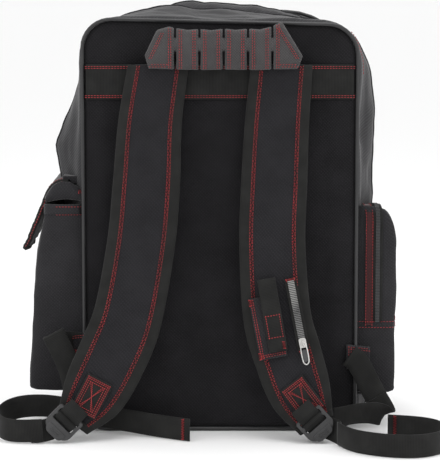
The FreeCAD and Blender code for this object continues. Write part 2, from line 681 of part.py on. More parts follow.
def smooth_path(points):
    """Straight runs joined by tangent arcs, each as large as its two runs allow."""
    spots = [Vector(x, y, 0) for x, y in points]
    edges, radii, here = [], [], spots[0]
    for before, corner, after in zip(spots, spots[1:], spots[2:]):
        arriving = (corner - before).normalize()
        leaving = (after - corner).normalize()
        turn = arriving.getAngle(leaving)
        reach = 0.45 * min((corner - before).Length, (after - corner).Length)
        radius = reach / math.tan(turn / 2)
        first, last = corner - arriving * reach, corner + leaving * reach
        inward = (leaving - arriving).normalize()
        middle = corner + inward * (radius / math.cos(turn / 2) - radius)
        edges.append(Part.LineSegment(here, first).toShape())
        edges.append(Part.Arc(first, middle, last).toShape())
        radii.append(radius)
        here = last
    edges.append(Part.LineSegment(here, spots[-1]).toShape())
    return Part.Wire(edges), radii


def tail(side):
    """Free webbing that stands on its edge along a curved path."""
    path, radii = smooth_path(TAILS[side])
    half, tall = number("webbing_thick") / 2, number("tail_width")
    start = path.Vertexes[0].Point
    along = path.Edges[0].tangentAt(path.Edges[0].FirstParameter)
    across = Vector(-along.y, along.x, 0) * half
    corners = [start + across, start - across, start - across + Vector(0, 0, tall),
               start + across + Vector(0, 0, tall)]
    section = Part.makePolygon(corners + corners[:1])
    ribbon = doc.addObject("Part::Feature", f"{side}_tail")
    swept = path.makePipeShell([section], True, False)
    expected = 2 * half * tall * path.Length
    print(f"{side} tail: length {path.Length:.1f}, tightest bend {min(radii):.1f},"
          f" volume over section times length {swept.Volume / expected:.4f}")
    ribbon.Shape = swept
    ribbon.Placement = Placement(Vector(0, 0, number("tail_lift")), Rotation())
    return ribbon


for side in ("left", "right"):
    part(tail(side))

# ---------------------------------------------------------------- zipper sliders

COIL_FACE = number(f"{COVER_FACE} + coil_thick")
COIL_X = number("-front_width / 2 + tape_width")
ZIP_MEETING = 300


def strap_slider_place():
    """The strap zipper's closed end, on its tape's face, and the tape's own turn."""
    turned = strap_zip.Placement.Rotation
    foot = Vector(number("strap_zip_width") / 2, 0, number("slider_length"))
    return strap_zip.Placement.Base + turned.multVec(foot), turned


UPRIGHT = Rotation()
HALF_TURN = Rotation(Vector(0, 0, 1), 180)
strap_foot, strap_turn = strap_slider_place()

# name: the slider's foot on its tape, and how it is turned; unturned it faces the front
SLIDERS = {
    "main_upper": (Vector(COIL_X, COIL_FACE, ZIP_MEETING + 16), UPRIGHT),
    "main_lower": (Vector(COIL_X, COIL_FACE, ZIP_MEETING - 16), UPRIGHT),
    "front_pocket": (Vector(number(FRONT_ZIP_X), number(f"{POCKET_FACE} + tape_thick"),
                            number("front_pocket_high - 28")), UPRIGHT),
    "side_pocket": (Vector(number(f"{SIDE_ZIP_X} + side_zip_width / 2"),
                           number("pocket_fore + tape_thick"), number("side_zip_low + 38")),
                    UPRIGHT),
    "strap_pocket": (strap_foot, strap_turn.multiply(HALF_TURN)),
}
SLIDER_LIFT = 0.4
HINGE_LIFT = number("slider_thick + 0.2 + (arch_rise - 1.4) / 2")


def zip_slider(name):
    """A slider body with an arch on its face, and the puller that hangs in the arch."""
    foot, turned = SLIDERS[name]
    place = Placement(foot + turned.multVec(Vector(0, SLIDER_LIFT, 0)), turned)
    hinge = place.multVec(Vector(0, HINGE_LIFT, 0))
    axis = turned.multVec(Vector(1, 0, 0))
    travel = turned.multVec(Vector(0, 0, 1))
    print(f"{name}: puller hinge at {tuple(round(c, 2) for c in hinge)} about"
          f" {tuple(round(c, 4) for c in axis)}, slides along"
          f" {tuple(round(c, 4) for c in travel)}")

    plate = block(f"{name}_slider_plate", "-slider_width / 2", "0", "-slider_length / 2",
                  "slider_width", "slider_thick", "slider_length")
    arch = block(f"{name}_slider_arch", "-arch_width / 2", "slider_thick - 1",
                 "-arch_length / 2", "arch_width", "arch_rise + 1", "arch_length")
    gap = block(f"{name}_slider_gap", "-arch_width", "slider_thick + 0.2",
                "-arch_length / 2 + 1.2", "2 * arch_width", "arch_rise - 1.4",
                "arch_length - 2.4")
    whole = boolean("Fuse", f"{name}_slider_whole", plate, arch)
    slider = boolean("Cut", f"{name}_slider", whole, gap)

    bar = doc.addObject("Part::Cylinder", f"{name}_puller_bar")
    bar.setExpression("Radius", bound("bar_radius"))
    bar.setExpression("Height", bound("puller_width"))
    bar.Placement = Placement(Vector(-number("puller_width") / 2, HINGE_LIFT, 0),
                              Rotation(Vector(0, 1, 0), 90))
    blade = slab(f"{name}_puller_blade", "XZ_Plane", f"{HINGE_LIFT} - puller_thick / 2",
                 f"{HINGE_LIFT} + puller_thick / 2",
                 lambda sketch: rounded(sketch, "-puller_width / 2", "puller_width / 2",
                                        "-puller_length", "0.6", "3.2", "0.5"),
                 lambda sketch: rounded(sketch, "-puller_width / 2 + 1.3",
                                        "puller_width / 2 - 1.3", "-puller_reach", "0.5",
                                        "0.4", "0.3"))
    puller = boolean("Fuse", f"{name}_puller", blade, bar)
    doc.recompute()
    slider.Placement = place
    puller.Placement = place
    return slider, puller


for name in SLIDERS:
    for piece in zip_slider(name):
        part(piece)


# ---------------------------------------------------------------- check and export

def check_document():
    doc.recompute()
    for thing in doc.Objects:
        if "Invalid" in thing.State or "Error" in thing.State:
            raise RuntimeError(f"{thing.Name} failed: {thing.State}")
    for thing in PARTS:
        shape = thing.Shape
        if shape.isNull() or not shape.isValid() or shape.Volume <= 0:
            raise RuntimeError(f"{thing.Label} has no valid solid")


def export_parts():
    os.makedirs("parts", exist_ok=True)
    for thing in PARTS:
        thing.Shape.exportStep(f"parts/{thing.Label}.step")
    print(f"{len(PARTS)} sub-parts written")


check_document()
export_parts()
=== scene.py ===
# %% [markdown]
# # A black backpack with red stitching
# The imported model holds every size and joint. Here each sewn piece is built again as cloth, webbing,
# thread or moulded plastic, in metres and in the same frame: +X right, -Y out of the harness side, +Z up.

# %% Load the frame
import json
import math

import bmesh
import bpy
import numpy as np
from mathutils import Matrix, Vector, noise
from mathutils.bvhtree import BVHTree


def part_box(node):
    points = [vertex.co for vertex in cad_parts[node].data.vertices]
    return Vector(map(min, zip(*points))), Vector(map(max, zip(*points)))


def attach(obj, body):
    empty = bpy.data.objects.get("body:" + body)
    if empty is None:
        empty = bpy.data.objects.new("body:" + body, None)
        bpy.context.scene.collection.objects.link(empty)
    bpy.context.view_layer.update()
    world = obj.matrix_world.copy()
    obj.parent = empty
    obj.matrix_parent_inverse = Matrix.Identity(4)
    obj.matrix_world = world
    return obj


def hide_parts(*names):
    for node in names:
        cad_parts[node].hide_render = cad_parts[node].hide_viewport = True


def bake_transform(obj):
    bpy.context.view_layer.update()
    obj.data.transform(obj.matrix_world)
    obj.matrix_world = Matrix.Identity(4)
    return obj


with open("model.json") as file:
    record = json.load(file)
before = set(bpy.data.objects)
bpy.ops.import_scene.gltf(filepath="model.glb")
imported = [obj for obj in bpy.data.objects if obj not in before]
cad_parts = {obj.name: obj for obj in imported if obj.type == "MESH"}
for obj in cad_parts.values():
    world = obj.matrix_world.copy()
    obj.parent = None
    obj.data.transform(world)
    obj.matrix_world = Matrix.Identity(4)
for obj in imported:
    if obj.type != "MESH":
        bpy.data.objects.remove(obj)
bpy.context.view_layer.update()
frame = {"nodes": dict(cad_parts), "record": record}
MM = 0.001
SIDES = ("left", "right")
PANEL_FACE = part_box("back_panel_cover")[0].y

# %% [markdown]
# The camera stands a little above the bag and looks down by a few degrees. The long lens keeps the
# verticals straight, as they look to someone who stands across a room.

# %% Camera
CAMERA_DISTANCE = 2.2
CAMERA_HEIGHT = 0.50
AIM_HEIGHT = 0.2225
LENS, SENSOR_WIDTH = 156, 36
camera_data = bpy.data.cameras.new("camera")
camera_data.lens = LENS
camera_data.sensor_width = SENSOR_WIDTH
camera = bpy.data.objects.new("camera", camera_data)
bpy.context.scene.collection.objects.link(camera)
camera.location = (0, PANEL_FACE - CAMERA_DISTANCE, CAMERA_HEIGHT)
aim = Vector((0, PANEL_FACE, AIM_HEIGHT)) - camera.location
camera.rotation_euler = aim.to_track_quat("-Z", "Y").to_euler()
bpy.context.scene.camera = camera
print("camera tilt:", round(math.degrees(math.atan2(-aim.z, CAMERA_DISTANCE)), 1), "degrees")

# %% [markdown]
# A pale floor and a white room give black cloth its shape: the cloth itself returns little light, so
# its edges are drawn by the room's reflection in the nap. Soft lights from above and both sides do this.

# %% Floor and light
FLOOR_REACH = 60
FLOOR_TINT, FLOOR_ROUGHNESS = 0.96, 0.85
ROOM_STRENGTH = 1.0
floor_mesh = bpy.data.meshes.new("floor")
floor_mesh.from_pydata([(x * FLOOR_REACH, y * FLOOR_REACH, 0) for x, y in
                        ((-1, -1), (1, -1), (1, 1), (-1, 1))], [], [(0, 1, 2, 3)])
floor = bpy.data.objects.new("floor", floor_mesh)
bpy.context.scene.collection.objects.link(floor)
floor_finish = bpy.data.materials.new("pale_floor")
floor_finish.use_nodes = True
floor_shader = floor_finish.node_tree.nodes["Principled BSDF"]
floor_shader.inputs["Base Color"].default_value = (FLOOR_TINT, FLOOR_TINT, FLOOR_TINT, 1)
floor_shader.inputs["Roughness"].default_value = FLOOR_ROUGHNESS
floor_mesh.materials.append(floor_finish)

world = bpy.data.worlds.new("white_room")
world.use_nodes = True
room = world.node_tree.nodes["Background"]
room.inputs["Color"].default_value = (1, 1, 1, 1)
room.inputs["Strength"].default_value = ROOM_STRENGTH
bpy.context.scene.world = world
bpy.context.scene.view_settings.view_transform = "Standard"

# where each soft box stands, and its power in watts
LIGHTS = {"top_box": ((0.2, -0.2, 2.2), 16), "left_box": ((-1.9, -1.1, 1.0), 7),
          "right_box": ((1.9, -0.9, 0.9), 6)}
LIGHT_SIZE = 1.2
BAG_MIDDLE = Vector((0, 0, 0.25))
for name, (place, power) in LIGHTS.items():
    light_data = bpy.data.lights.new(name, "AREA")
    light_data.size = LIGHT_SIZE
    light_data.energy = power
    light = bpy.data.objects.new(name, light_data)
    light.location = place
    light.rotation_euler = (BAG_MIDDLE - Vector(place)).to_track_quat("-Z", "Y").to_euler()
    bpy.context.scene.collection.objects.link(light)

# %% [markdown]
# ## Finishes
# Every finish is a principled shader that nodes feed. A few helpers add a node, join it and read the
# object's own coordinates, so that each finish below is only a short list of what it is made of.

# %% Node helpers
def new_finish(name, colour, roughness, **sockets):
    """A principled material; constant values go straight on the shader's own sockets."""
    finish = bpy.data.materials.new(name)
    finish.use_nodes = True
    shader = finish.node_tree.nodes["Principled BSDF"]
    shader.inputs["Base Color"].default_value = (*colour, 1)
    shader.inputs["Roughness"].default_value = roughness
    for socket, value in sockets.items():
        shader.inputs[socket.replace("_", " ")].default_value = value
    return finish, finish.node_tree, shader


def add_node(tree, kind, **values):
    """One node; values are set on its inputs by name, or on the node itself."""
    node = tree.nodes.new(kind)
    for name, value in values.items():
        socket = name.replace("_", " ")
        if socket in node.inputs:
            node.inputs[socket].default_value = value
        else:
            setattr(node, name, value)
    return node


def object_place(tree, turn=(0, 0, 0), scale=(1, 1, 1)):
    """Object coordinates, turned and scaled for a pattern."""
    source = tree.nodes.new("ShaderNodeTexCoord")
    mapping = tree.nodes.new("ShaderNodeMapping")
    mapping.inputs["Rotation"].default_value = turn
    mapping.inputs["Scale"].default_value = scale
    tree.links.new(source.outputs["Object"], mapping.inputs["Vector"])
    return mapping.outputs["Vector"]


def tint(tree, shader, factor, *stops):
    """Colour the shader from a dark to a light stop, each a place and a colour."""
    ramp = tree.nodes.new("ShaderNodeValToRGB")
    for element, (place, colour) in zip(ramp.color_ramp.elements, stops):
        element.position = place
        element.color = (*colour, 1)
    tree.links.new(factor, ramp.inputs["Fac"])
    tree.links.new(ramp.outputs["Color"], shader.inputs["Base Color"])


def math_node(tree, kind, first, second):
    """A sum or a product of two values, each a number or a node's output."""
    node = tree.nodes.new("ShaderNodeMath")
    node.operation = kind
    for socket, value in zip(node.inputs, (first, second)):
        if isinstance(value, (int, float)):
            socket.default_value = value
        else:
            tree.links.new(value, socket)
    return node.outputs[0]


def mix(tree, first, first_share, second, second_share):
    """The sum of two outputs, each times its own share."""
    return math_node(tree, "ADD", math_node(tree, "MULTIPLY", first, first_share),
                     math_node(tree, "MULTIPLY", second, second_share))


def bump(tree, shader, height, strength, distance):
    """Raise the surface by a pattern, without moving the mesh."""
    node = add_node(tree, "ShaderNodeBump", Strength=strength, Distance=distance)
    tree.links.new(height, node.inputs["Height"])
    tree.links.new(node.outputs["Normal"], shader.inputs["Normal"])


def uneven(tree, scale, detail, **values):
    """Noise on the object's own coordinates."""
    node = add_node(tree, "ShaderNodeTexNoise", Scale=scale, Detail=detail, **values)
    tree.links.new(object_place(tree), node.inputs["Vector"])
    return node.outputs["Fac"]


def wave(tree, place, scale, direction="X", distortion=0.0):
    """Even bands, the pattern of ribs."""
    node = tree.nodes.new("ShaderNodeTexWave")
    node.wave_type = "BANDS"
    node.bands_direction = direction
    node.inputs["Scale"].default_value = scale
    node.inputs["Distortion"].default_value = distortion
    node.inputs["Detail Scale"].default_value = 2
    tree.links.new(place, node.inputs["Vector"])
    return node.outputs["Fac"]


print("node helpers ready")

# %% [markdown]
# A woven cloth is built from its own threads: two fine waves cross at the twill's angle, raise the
# surface and shift its colour. A slow noise adds the uneven dye and rubbed places of a used fabric,
# and a sheen lights the nap at the edges, where black cloth would otherwise lose its outline.

# %% Cloth
TWILL_TURN, CROSS_TURN = (0.35, 0.5, 0.9), (0.2, 0.8, -0.7)


def cloth(name, dark, light, thread=0.0011, roughness=0.82, sheen=0.35, relief=0.35,
          specular=0.2):
    """Twill: fine ribs at an angle on every face, uneven dye, and a nap that lights at the edge."""
    finish, tree, shader = new_finish(name, dark, roughness, Sheen_Weight=sheen,
                                      Sheen_Roughness=0.45, Specular_IOR_Level=specular)
    ribs = wave(tree, object_place(tree, TWILL_TURN), 1 / thread / 6.0, "X", 0.6)
    cross = wave(tree, object_place(tree, CROSS_TURN), 1 / thread / 7.0, "Z", 0.4)
    weave = math_node(tree, "MULTIPLY", ribs, cross)
    dye = uneven(tree, 26.0, 5.0, Roughness=0.6)
    fleck = uneven(tree, 900.0, 2.0)
    mixed = mix(tree, mix(tree, dye, 0.55, fleck, 0.45), 0.75, weave, 0.25)
    tint(tree, shader, mixed, (0.3, dark), (0.62, light))
    height = math_node(tree, "ADD", weave, math_node(tree, "MULTIPLY", fleck, 0.5))
    bump(tree, shader, height, relief, 0.0006)
    return finish


print("twill turns:", TWILL_TURN, CROSS_TURN)

# %% [markdown]
# Webbing and grosgrain are ribbed across their run. Object coordinates can't follow a strap round a
# bend, so this finish reads the piece's UV map, which is laid in metres along and across the run.

# %% Webbing
# a wave node's bands repeat every pi / 10 units of its scale
WAVE_TURN = math.pi / 10


def webbing(name, dark, light, rib=0.0016, roughness=0.75, sheen=0.1):
    """Ribbed webbing: cross ribs read from the piece's own run, held in its UV map."""
    finish, tree, shader = new_finish(name, dark, roughness, Sheen_Weight=sheen,
                                      Sheen_Roughness=0.4, Specular_IOR_Level=0.18)
    source = tree.nodes.new("ShaderNodeUVMap")
    ribs = wave(tree, source.outputs["UV"], WAVE_TURN / rib, "X")
    lanes = wave(tree, source.outputs["UV"], WAVE_TURN / (rib * 0.9), "Y")
    pattern = mix(tree, ribs, 0.26, lanes, 0.08)
    dye = math_node(tree, "MULTIPLY", uneven(tree, 60.0, 4.0), 0.6)
    tint(tree, shader, math_node(tree, "ADD", pattern, dye), (0.3, dark), (0.8, light))
    bump(tree, shader, pattern, 0.4, 0.0005)
    return finish


print("ribs per scale unit:", round(1 / WAVE_TURN, 2))

# %% [markdown]
# Plastic, metal and thread share one recipe: a fine grain for the relief and a slow noise that makes
# the colour and the gloss uneven, as handling does.

# %% Moulded and cast stuff
def speckled(name, dark, light, roughness, scale=700.0, relief=0.15, **sockets):
    """Moulded or cast stuff with a fine grain and slightly uneven gloss."""
    finish, tree, shader = new_finish(name, dark, roughness, **sockets)
    grain = uneven(tree, scale, 3.0)
    wear = uneven(tree, 45.0, 4.0)
    tint(tree, shader, wear, (0.35, dark), (0.7, light))
    gloss = math_node(tree, "ADD", math_node(tree, "MULTIPLY", wear, 0.25), roughness - 0.12)
    tree.links.new(gloss, shader.inputs["Roughness"])
    bump(tree, shader, grain, relief, 0.0003)
    return finish


print("finish makers:", cloth.__name__, webbing.__name__, speckled.__name__)

# %% [markdown]
# The bag uses three blacks that the eye tells apart: a charcoal twill on the shell, a darker one on
# the panel and the straps, and the ribbed black of webbing. Red thread is the one strong colour.

# %% The bag's finishes
FINISH = {
    "shell_twill": cloth("shell_twill", (0.012, 0.0115, 0.013), (0.028, 0.027, 0.030),
                         sheen=0.22),
    "panel_twill": cloth("panel_twill", (0.0055, 0.0052, 0.006), (0.016, 0.0152, 0.0172),
                         sheen=0.1, specular=0.14),
    "strap_twill": cloth("strap_twill", (0.0095, 0.0092, 0.0108), (0.021, 0.0203, 0.0232),
                         sheen=0.12, specular=0.16),
    "handle_cloth": cloth("handle_cloth", (0.036, 0.034, 0.035), (0.080, 0.076, 0.077),
                          thread=0.0009, sheen=0.2),
    "lining": cloth("lining", (0.03, 0.03, 0.031), (0.05, 0.05, 0.052), thread=0.0008),
    "foam_cover": cloth("foam_cover", (0.02, 0.02, 0.021), (0.04, 0.04, 0.042), thread=0.002),
    "webbing": webbing("webbing_black", (0.007, 0.007, 0.0068), (0.022, 0.022, 0.021)),
    "binding": webbing("edge_binding", (0.008, 0.008, 0.0077), (0.021, 0.021, 0.020),
                       rib=0.0012),
    "thread": speckled("red_thread", (0.20, 0.010, 0.012), (0.36, 0.020, 0.024), 0.6,
                       scale=2500.0, relief=0.4, Sheen_Weight=0.05),
    "bright_thread": speckled("bright_red_thread", (0.26, 0.010, 0.014), (0.46, 0.024, 0.028),
                              0.55, scale=2500.0, relief=0.4, Sheen_Weight=0.05),
    "piping": speckled("vinyl_piping", (0.010, 0.010, 0.011), (0.018, 0.018, 0.019), 0.42,
                       scale=1200.0, Coat_Weight=0.1, Coat_Roughness=0.35),
    "acetal": speckled("grey_acetal", (0.022, 0.022, 0.023), (0.040, 0.040, 0.041), 0.36,
                       scale=1500.0, relief=0.2),
    "nickel": speckled("nickel", (0.55, 0.54, 0.52), (0.72, 0.71, 0.69), 0.3, scale=900.0,
                       relief=0.1, Metallic=1.0),
    "steel_teeth": speckled("steel_teeth", (0.16, 0.16, 0.16), (0.34, 0.34, 0.33), 0.4,
                            scale=900.0, relief=0.1, Metallic=1.0),
    "coil": speckled("nylon_coil", (0.03, 0.03, 0.031), (0.06, 0.06, 0.062), 0.4, scale=900.0),
    "board": speckled("grey_board", (0.05, 0.05, 0.05), (0.09, 0.09, 0.09), 0.6),
    "red_welt": cloth("red_welt", (0.03, 0.010, 0.011), (0.06, 0.016, 0.017)),
}
print("finishes:", len(FINISH))

# %% [markdown]
# ## Building blocks
# Every sewn piece here is a grid that follows a rule: a path gives one direction and a section the
# other. Writing the grid out point by point keeps the seams where a maker would sew them, and it gives
# each piece a UV map in metres, so that webbing ribs keep their real pitch around every bend.

# %% Grid meshes
def as_object(name, mesh):
    """An object at the origin that carries a mesh or a curve."""
    thing = bpy.data.objects.new(name, mesh)
    bpy.context.scene.collection.objects.link(thing)
    return thing


def grid_piece(name, rows, finish, closed_across=False, closed_along=False, cap=False):
    """A smooth grid of points: rows run along the piece, columns across it."""
    rows = np.asarray(rows, float)
    count, width = rows.shape[:2]
    faces, uvs = [], []
    along = np.concatenate([[0], np.cumsum(np.linalg.norm(
        np.diff(rows[:, width // 2], axis=0), axis=1))])
    middle = rows[count // 2]
    across = np.concatenate([[0], np.cumsum(np.linalg.norm(np.diff(middle, axis=0), axis=1))])
    last_row = count if closed_along else count - 1
    last_column = width if closed_across else width - 1
    for i in range(last_row):
        for j in range(last_column):
            k, m = (i + 1) % count, (j + 1) % width
            faces.append((i * width + j, i * width + m, k * width + m, k * width + j))
            a0, a1 = along[i], along[k] if k else along[-1] * (1 + 1 / count)
            c0, c1 = across[j], across[m] if m else across[-1] * (1 + 1 / width)
            uvs += [(a0, c0), (a0, c1), (a1, c1), (a1, c0)]
    if cap:
        faces.append(tuple(range(width))[::-1])
        uvs += [(0, c) for c in across]
        faces.append(tuple((count - 1) * width + j for j in range(width)))
        uvs += [(along[-1], c) for c in across]
    mesh = bpy.data.meshes.new(name)
    mesh.from_pydata([tuple(p) for p in rows.reshape(-1, 3)], [], faces)
    layer = mesh.uv_layers.new(name="UVMap")
    layer.data.foreach_set("uv", np.array(uvs, np.float32).ravel())
    smooth(mesh)
    mesh.materials.append(FINISH[finish])
    mesh.update()
    outward(mesh)
    return as_object(name, mesh)


def outward(mesh, merge=0.0):
    """Make a mesh's faces agree, after its doubled points are merged where that is asked."""
    shell = bmesh.new()
    shell.from_mesh(mesh)
    if merge:
        bmesh.ops.remove_doubles(shell, verts=shell.verts, dist=merge)
    bmesh.ops.recalc_face_normals(shell, faces=shell.faces)
    shell.to_mesh(mesh)
    shell.free()


def final_mesh(thing):
    """The plain mesh that a curve or a modifier makes."""
    bpy.context.view_layer.update()
    graph = bpy.context.evaluated_depsgraph_get()
    return bpy.data.meshes.new_from_object(thing.evaluated_get(graph))


def take_mesh(guide):
    """A helper object's final mesh; the helper itself goes."""
    mesh = final_mesh(guide)
    bpy.data.objects.remove(guide)
    return mesh


def thicken(piece, thickness, offset=-1.0, lining=None):
    """Give a sheet of cloth its thickness, and another finish inside where it is lined."""
    solid = piece.modifiers.new("thickness", "SOLIDIFY")
    solid.thickness = thickness
    solid.offset = offset
    if lining:
        piece.data.materials.append(FINISH[lining])
        solid.material_offset = 1
    mesh = final_mesh(piece)
    piece.modifiers.clear()
    piece.data = mesh
    return piece


print("grid helpers ready")

# %% [markdown]
# Outlines and routes are drawn with a few points each. A curve that passes through all of them keeps
# the drawing short and the cloth fair, and even spacing along it keeps the weave even.

# %% Smooth lines
def smooth_through(points, count, closed=False):
    """A smooth line through given points, evenly sampled."""
    spots = np.asarray(points, float)
    if closed:
        spots = np.vstack([spots[-1:], spots, spots[:2]])
    else:
        spots = np.vstack([2 * spots[:1] - spots[1:2], spots, 2 * spots[-1:] - spots[-2:-1]])
    line = []
    for a, b, c, d in zip(spots, spots[1:], spots[2:], spots[3:]):
        for t in np.linspace(0, 1, 24, endpoint=False):
            line.append(0.5 * (2 * b + (c - a) * t + (2 * a - 5 * b + 4 * c - d) * t ** 2
                               + (3 * b - a - 3 * c + d) * t ** 3))
    line.append(spots[-2])
    return resample(np.array(line), count, closed)


def resample(line, count, closed=False):
    """The same line with a number of evenly spaced points."""
    steps = np.linalg.norm(np.diff(line, axis=0), axis=1)
    length = np.concatenate([[0], np.cumsum(steps)])
    want = np.linspace(0, length[-1], count + 1 if closed else count)
    made = np.stack([np.interp(want, length, line[:, k]) for k in range(line.shape[1])], 1)
    return made[:-1] if closed else made


def ring_rows(outer, core, shares, spot_of):
    """Rings that close in from an outline to a core point, for a soft flat face."""
    core = np.array([core])
    return [[spot_of(x, z, share) for x, z in outer * (1 - share) + core * share]
            for share in shares]


def rounded_loop(half_width, low, high, low_radius, high_radius, steps=8):
    """A rectangle with round corners, as points in its own plane."""
    spots = []
    for cx, cy, r, start in ((half_width - low_radius, low + low_radius, low_radius, -90),
                             (half_width - high_radius, high - high_radius, high_radius, 0),
                             (-half_width + high_radius, high - high_radius, high_radius, 90),
                             (-half_width + low_radius, low + low_radius, low_radius, 180)):
        for step in range(steps + 1):
            angle = math.radians(start + step * 90 / steps)
            spots.append((cx + r * math.cos(angle), cy + r * math.sin(angle)))
    return spots


def panel_ring(half, low, high, corner, low_corner, count):
    """A rounded rectangle with even points, starting at the middle of its foot."""
    spots = [(0, low), *rounded_loop(half, low, high, low_corner, corner), (0, low)]
    return resample(np.array(spots, float), count, closed=True)


def dress(piece, body, slot, *nodes):
    """Let a piece ride on its body and stand for CAD nodes; its slot is not used."""
    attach(piece, body)
    if nodes:
        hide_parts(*nodes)
    return piece


print("an outline of 8 points is", round(len(panel_ring(1, 0, 2, 0.2, 0.2, 8)), 1), "points long")

# %% [markdown]
# ## Stitches and zipper teeth
# A stitch and a zipper tooth are the same problem: one small shape, laid again and again along a
# path. One Geometry Nodes tree is built for each, by the same function, with its sizes as inputs.

# %% Laying trees
STITCH_SIZES = {"Pitch": 0.0032, "Thickness": 0.0008, "Length": 0.0024}
TOOTH_SIZES = {"Pitch": 0.0016, "Across": 0.0048, "Height": 0.0016, "Along": 0.0009}


def laying_tree(title, sizes, axes, shape, shape_sizes, faced):
    """Geometry nodes that lay one shape after another along every curve.

    axes names the size that each of X, Y and Z takes, and Z runs along the path. A faced shape
    also turns its Y towards the Facing input.
    """
    tree = bpy.data.node_groups.new(title, "GeometryNodeTree")
    face = tree.interface
    face.new_socket("Geometry", in_out="INPUT", socket_type="NodeSocketGeometry")
    for name, value in sizes.items():
        face.new_socket(name, in_out="INPUT",
                        socket_type="NodeSocketFloat").default_value = value
    face.new_socket("Facing", in_out="INPUT", socket_type="NodeSocketVector")
    face.new_socket("Finish", in_out="INPUT", socket_type="NodeSocketMaterial")
    face.new_socket("Geometry", in_out="OUTPUT", socket_type="NodeSocketGeometry")
    node, link = tree.nodes.new, tree.links.new
    source, result = node("NodeGroupInput"), node("NodeGroupOutput")
    even = node("GeometryNodeResampleCurve")
    even.mode = "LENGTH"
    link(source.outputs["Geometry"], even.inputs["Curve"])
    link(source.outputs["Pitch"], even.inputs["Length"])
    tangent = node("GeometryNodeInputTangent")
    turn = node("FunctionNodeAlignRotationToVector")
    turn.axis = "Z"
    link(tangent.outputs["Tangent"], turn.inputs["Vector"])
    if faced:
        facing = node("FunctionNodeAlignRotationToVector")
        facing.axis, facing.pivot_axis = "Y", "Z"
        link(turn.outputs["Rotation"], facing.inputs["Rotation"])
        link(source.outputs["Facing"], facing.inputs["Vector"])
        turn = facing
    size = node("ShaderNodeCombineXYZ")
    for name, axis in zip(axes, "XYZ"):
        link(source.outputs[name], size.inputs[axis])
    bead = node(shape)
    for name, value in shape_sizes.items():
        bead.inputs[name].default_value = value
    lay = node("GeometryNodeInstanceOnPoints")
    link(even.outputs["Curve"], lay.inputs["Points"])
    link(bead.outputs["Mesh"], lay.inputs["Instance"])
    link(turn.outputs["Rotation"], lay.inputs["Rotation"])
    link(size.outputs["Vector"], lay.inputs["Scale"])
    real = node("GeometryNodeRealizeInstances")
    link(lay.outputs["Instances"], real.inputs["Geometry"])
    paint = node("GeometryNodeSetMaterial")
    link(real.outputs["Geometry"], paint.inputs["Geometry"])
    link(source.outputs["Finish"], paint.inputs["Material"])
    link(paint.outputs["Geometry"], result.inputs["Geometry"])
    return tree


STITCHES = laying_tree("running_stitches", STITCH_SIZES, ("Thickness", "Thickness", "Length"),
                       "GeometryNodeMeshUVSphere",
                       {"Segments": 6, "Rings": 4, "Radius": 0.5}, False)
TEETH = laying_tree("zipper_teeth", TOOTH_SIZES, ("Across", "Height", "Along"),
                    "GeometryNodeMeshCube", {"Size": (1, 1, 1)}, True)
print("tree inputs:", [s.name for s in STITCHES.interface.items_tree if s.in_out == "INPUT"])

# %% [markdown]
# A row of thread is drawn as a line first and sewn after. press drops each point of a line on the
# finished cloth, so a row follows every swell, and a bartack is a zigzag of one round thread.

# %% Thread tools
def line_object(name, lines, radius=0.0):
    """Poly splines through points, with a round section when a radius is given."""
    data = bpy.data.curves.new(name, "CURVE")
    data.dimensions = "3D"
    data.bevel_depth = radius
    data.bevel_resolution = 1
    for line in lines:
        spline = data.splines.new("POLY")
        spline.points.add(len(line) - 1)
        spline.points.foreach_set("co", np.hstack(
            [np.asarray(line, float), np.ones((len(line), 1))]).ravel())
    return as_object(name, data)


def laid(name, lines, tree, **wanted):
    """The mesh that a laying tree makes along lines; its inputs are given by name."""
    guide = line_object(f"{name}_guide", lines)
    laying = guide.modifiers.new("laying", "NODES")
    laying.node_group = tree
    for socket in tree.interface.items_tree:
        if socket.in_out == "INPUT" and socket.name in wanted:
            laying[socket.identifier] = wanted[socket.name]
    return take_mesh(guide)


def smooth(mesh):
    """Shade a mesh smooth."""
    mesh.polygons.foreach_set("use_smooth", [True] * len(mesh.polygons))
    return mesh


def stitch(name, lines, pitch=0.0032, length=0.0025, thickness=0.0009, thread="thread"):
    """Running stitches along lines, as one plain mesh."""
    mesh = laid(name, lines, STITCHES, Pitch=pitch, Length=length, Thickness=thickness,
                Finish=FINISH[thread])
    return as_object(name, smooth(mesh))


def teeth(name, lines, facing, metal, pitch=0.0017, across=0.0046, height=0.0016):
    """A closed run of zipper teeth as one plain mesh."""
    mesh = laid(name, lines, TEETH, Pitch=pitch, Across=across, Along=pitch * 0.58,
                Height=height, Facing=facing, Finish=FINISH[metal])
    return as_object(name, mesh)


def cord_mesh(name, lines, radius, finish):
    """Round thread, piping or wire along lines, as one plain mesh with closed ends."""
    guide = line_object(f"{name}_guide", lines, radius)
    guide.data.use_fill_caps = True
    mesh = take_mesh(guide)
    mesh.materials.clear()
    mesh.materials.append(FINISH[finish])
    return as_object(name, smooth(mesh))


def zigzag(start, end, side, width, pitch):
    """A zigzag between two points, swinging along side."""
    start, end, side = (np.asarray(v, float) for v in (start, end, side))
    count = max(3, int(np.linalg.norm(end - start) / pitch))
    return [start + (end - start) * k / count + side * width * (0.5 if k % 2 else -0.5)
            for k in range(count + 1)]


PRESS_REACH = 0.12


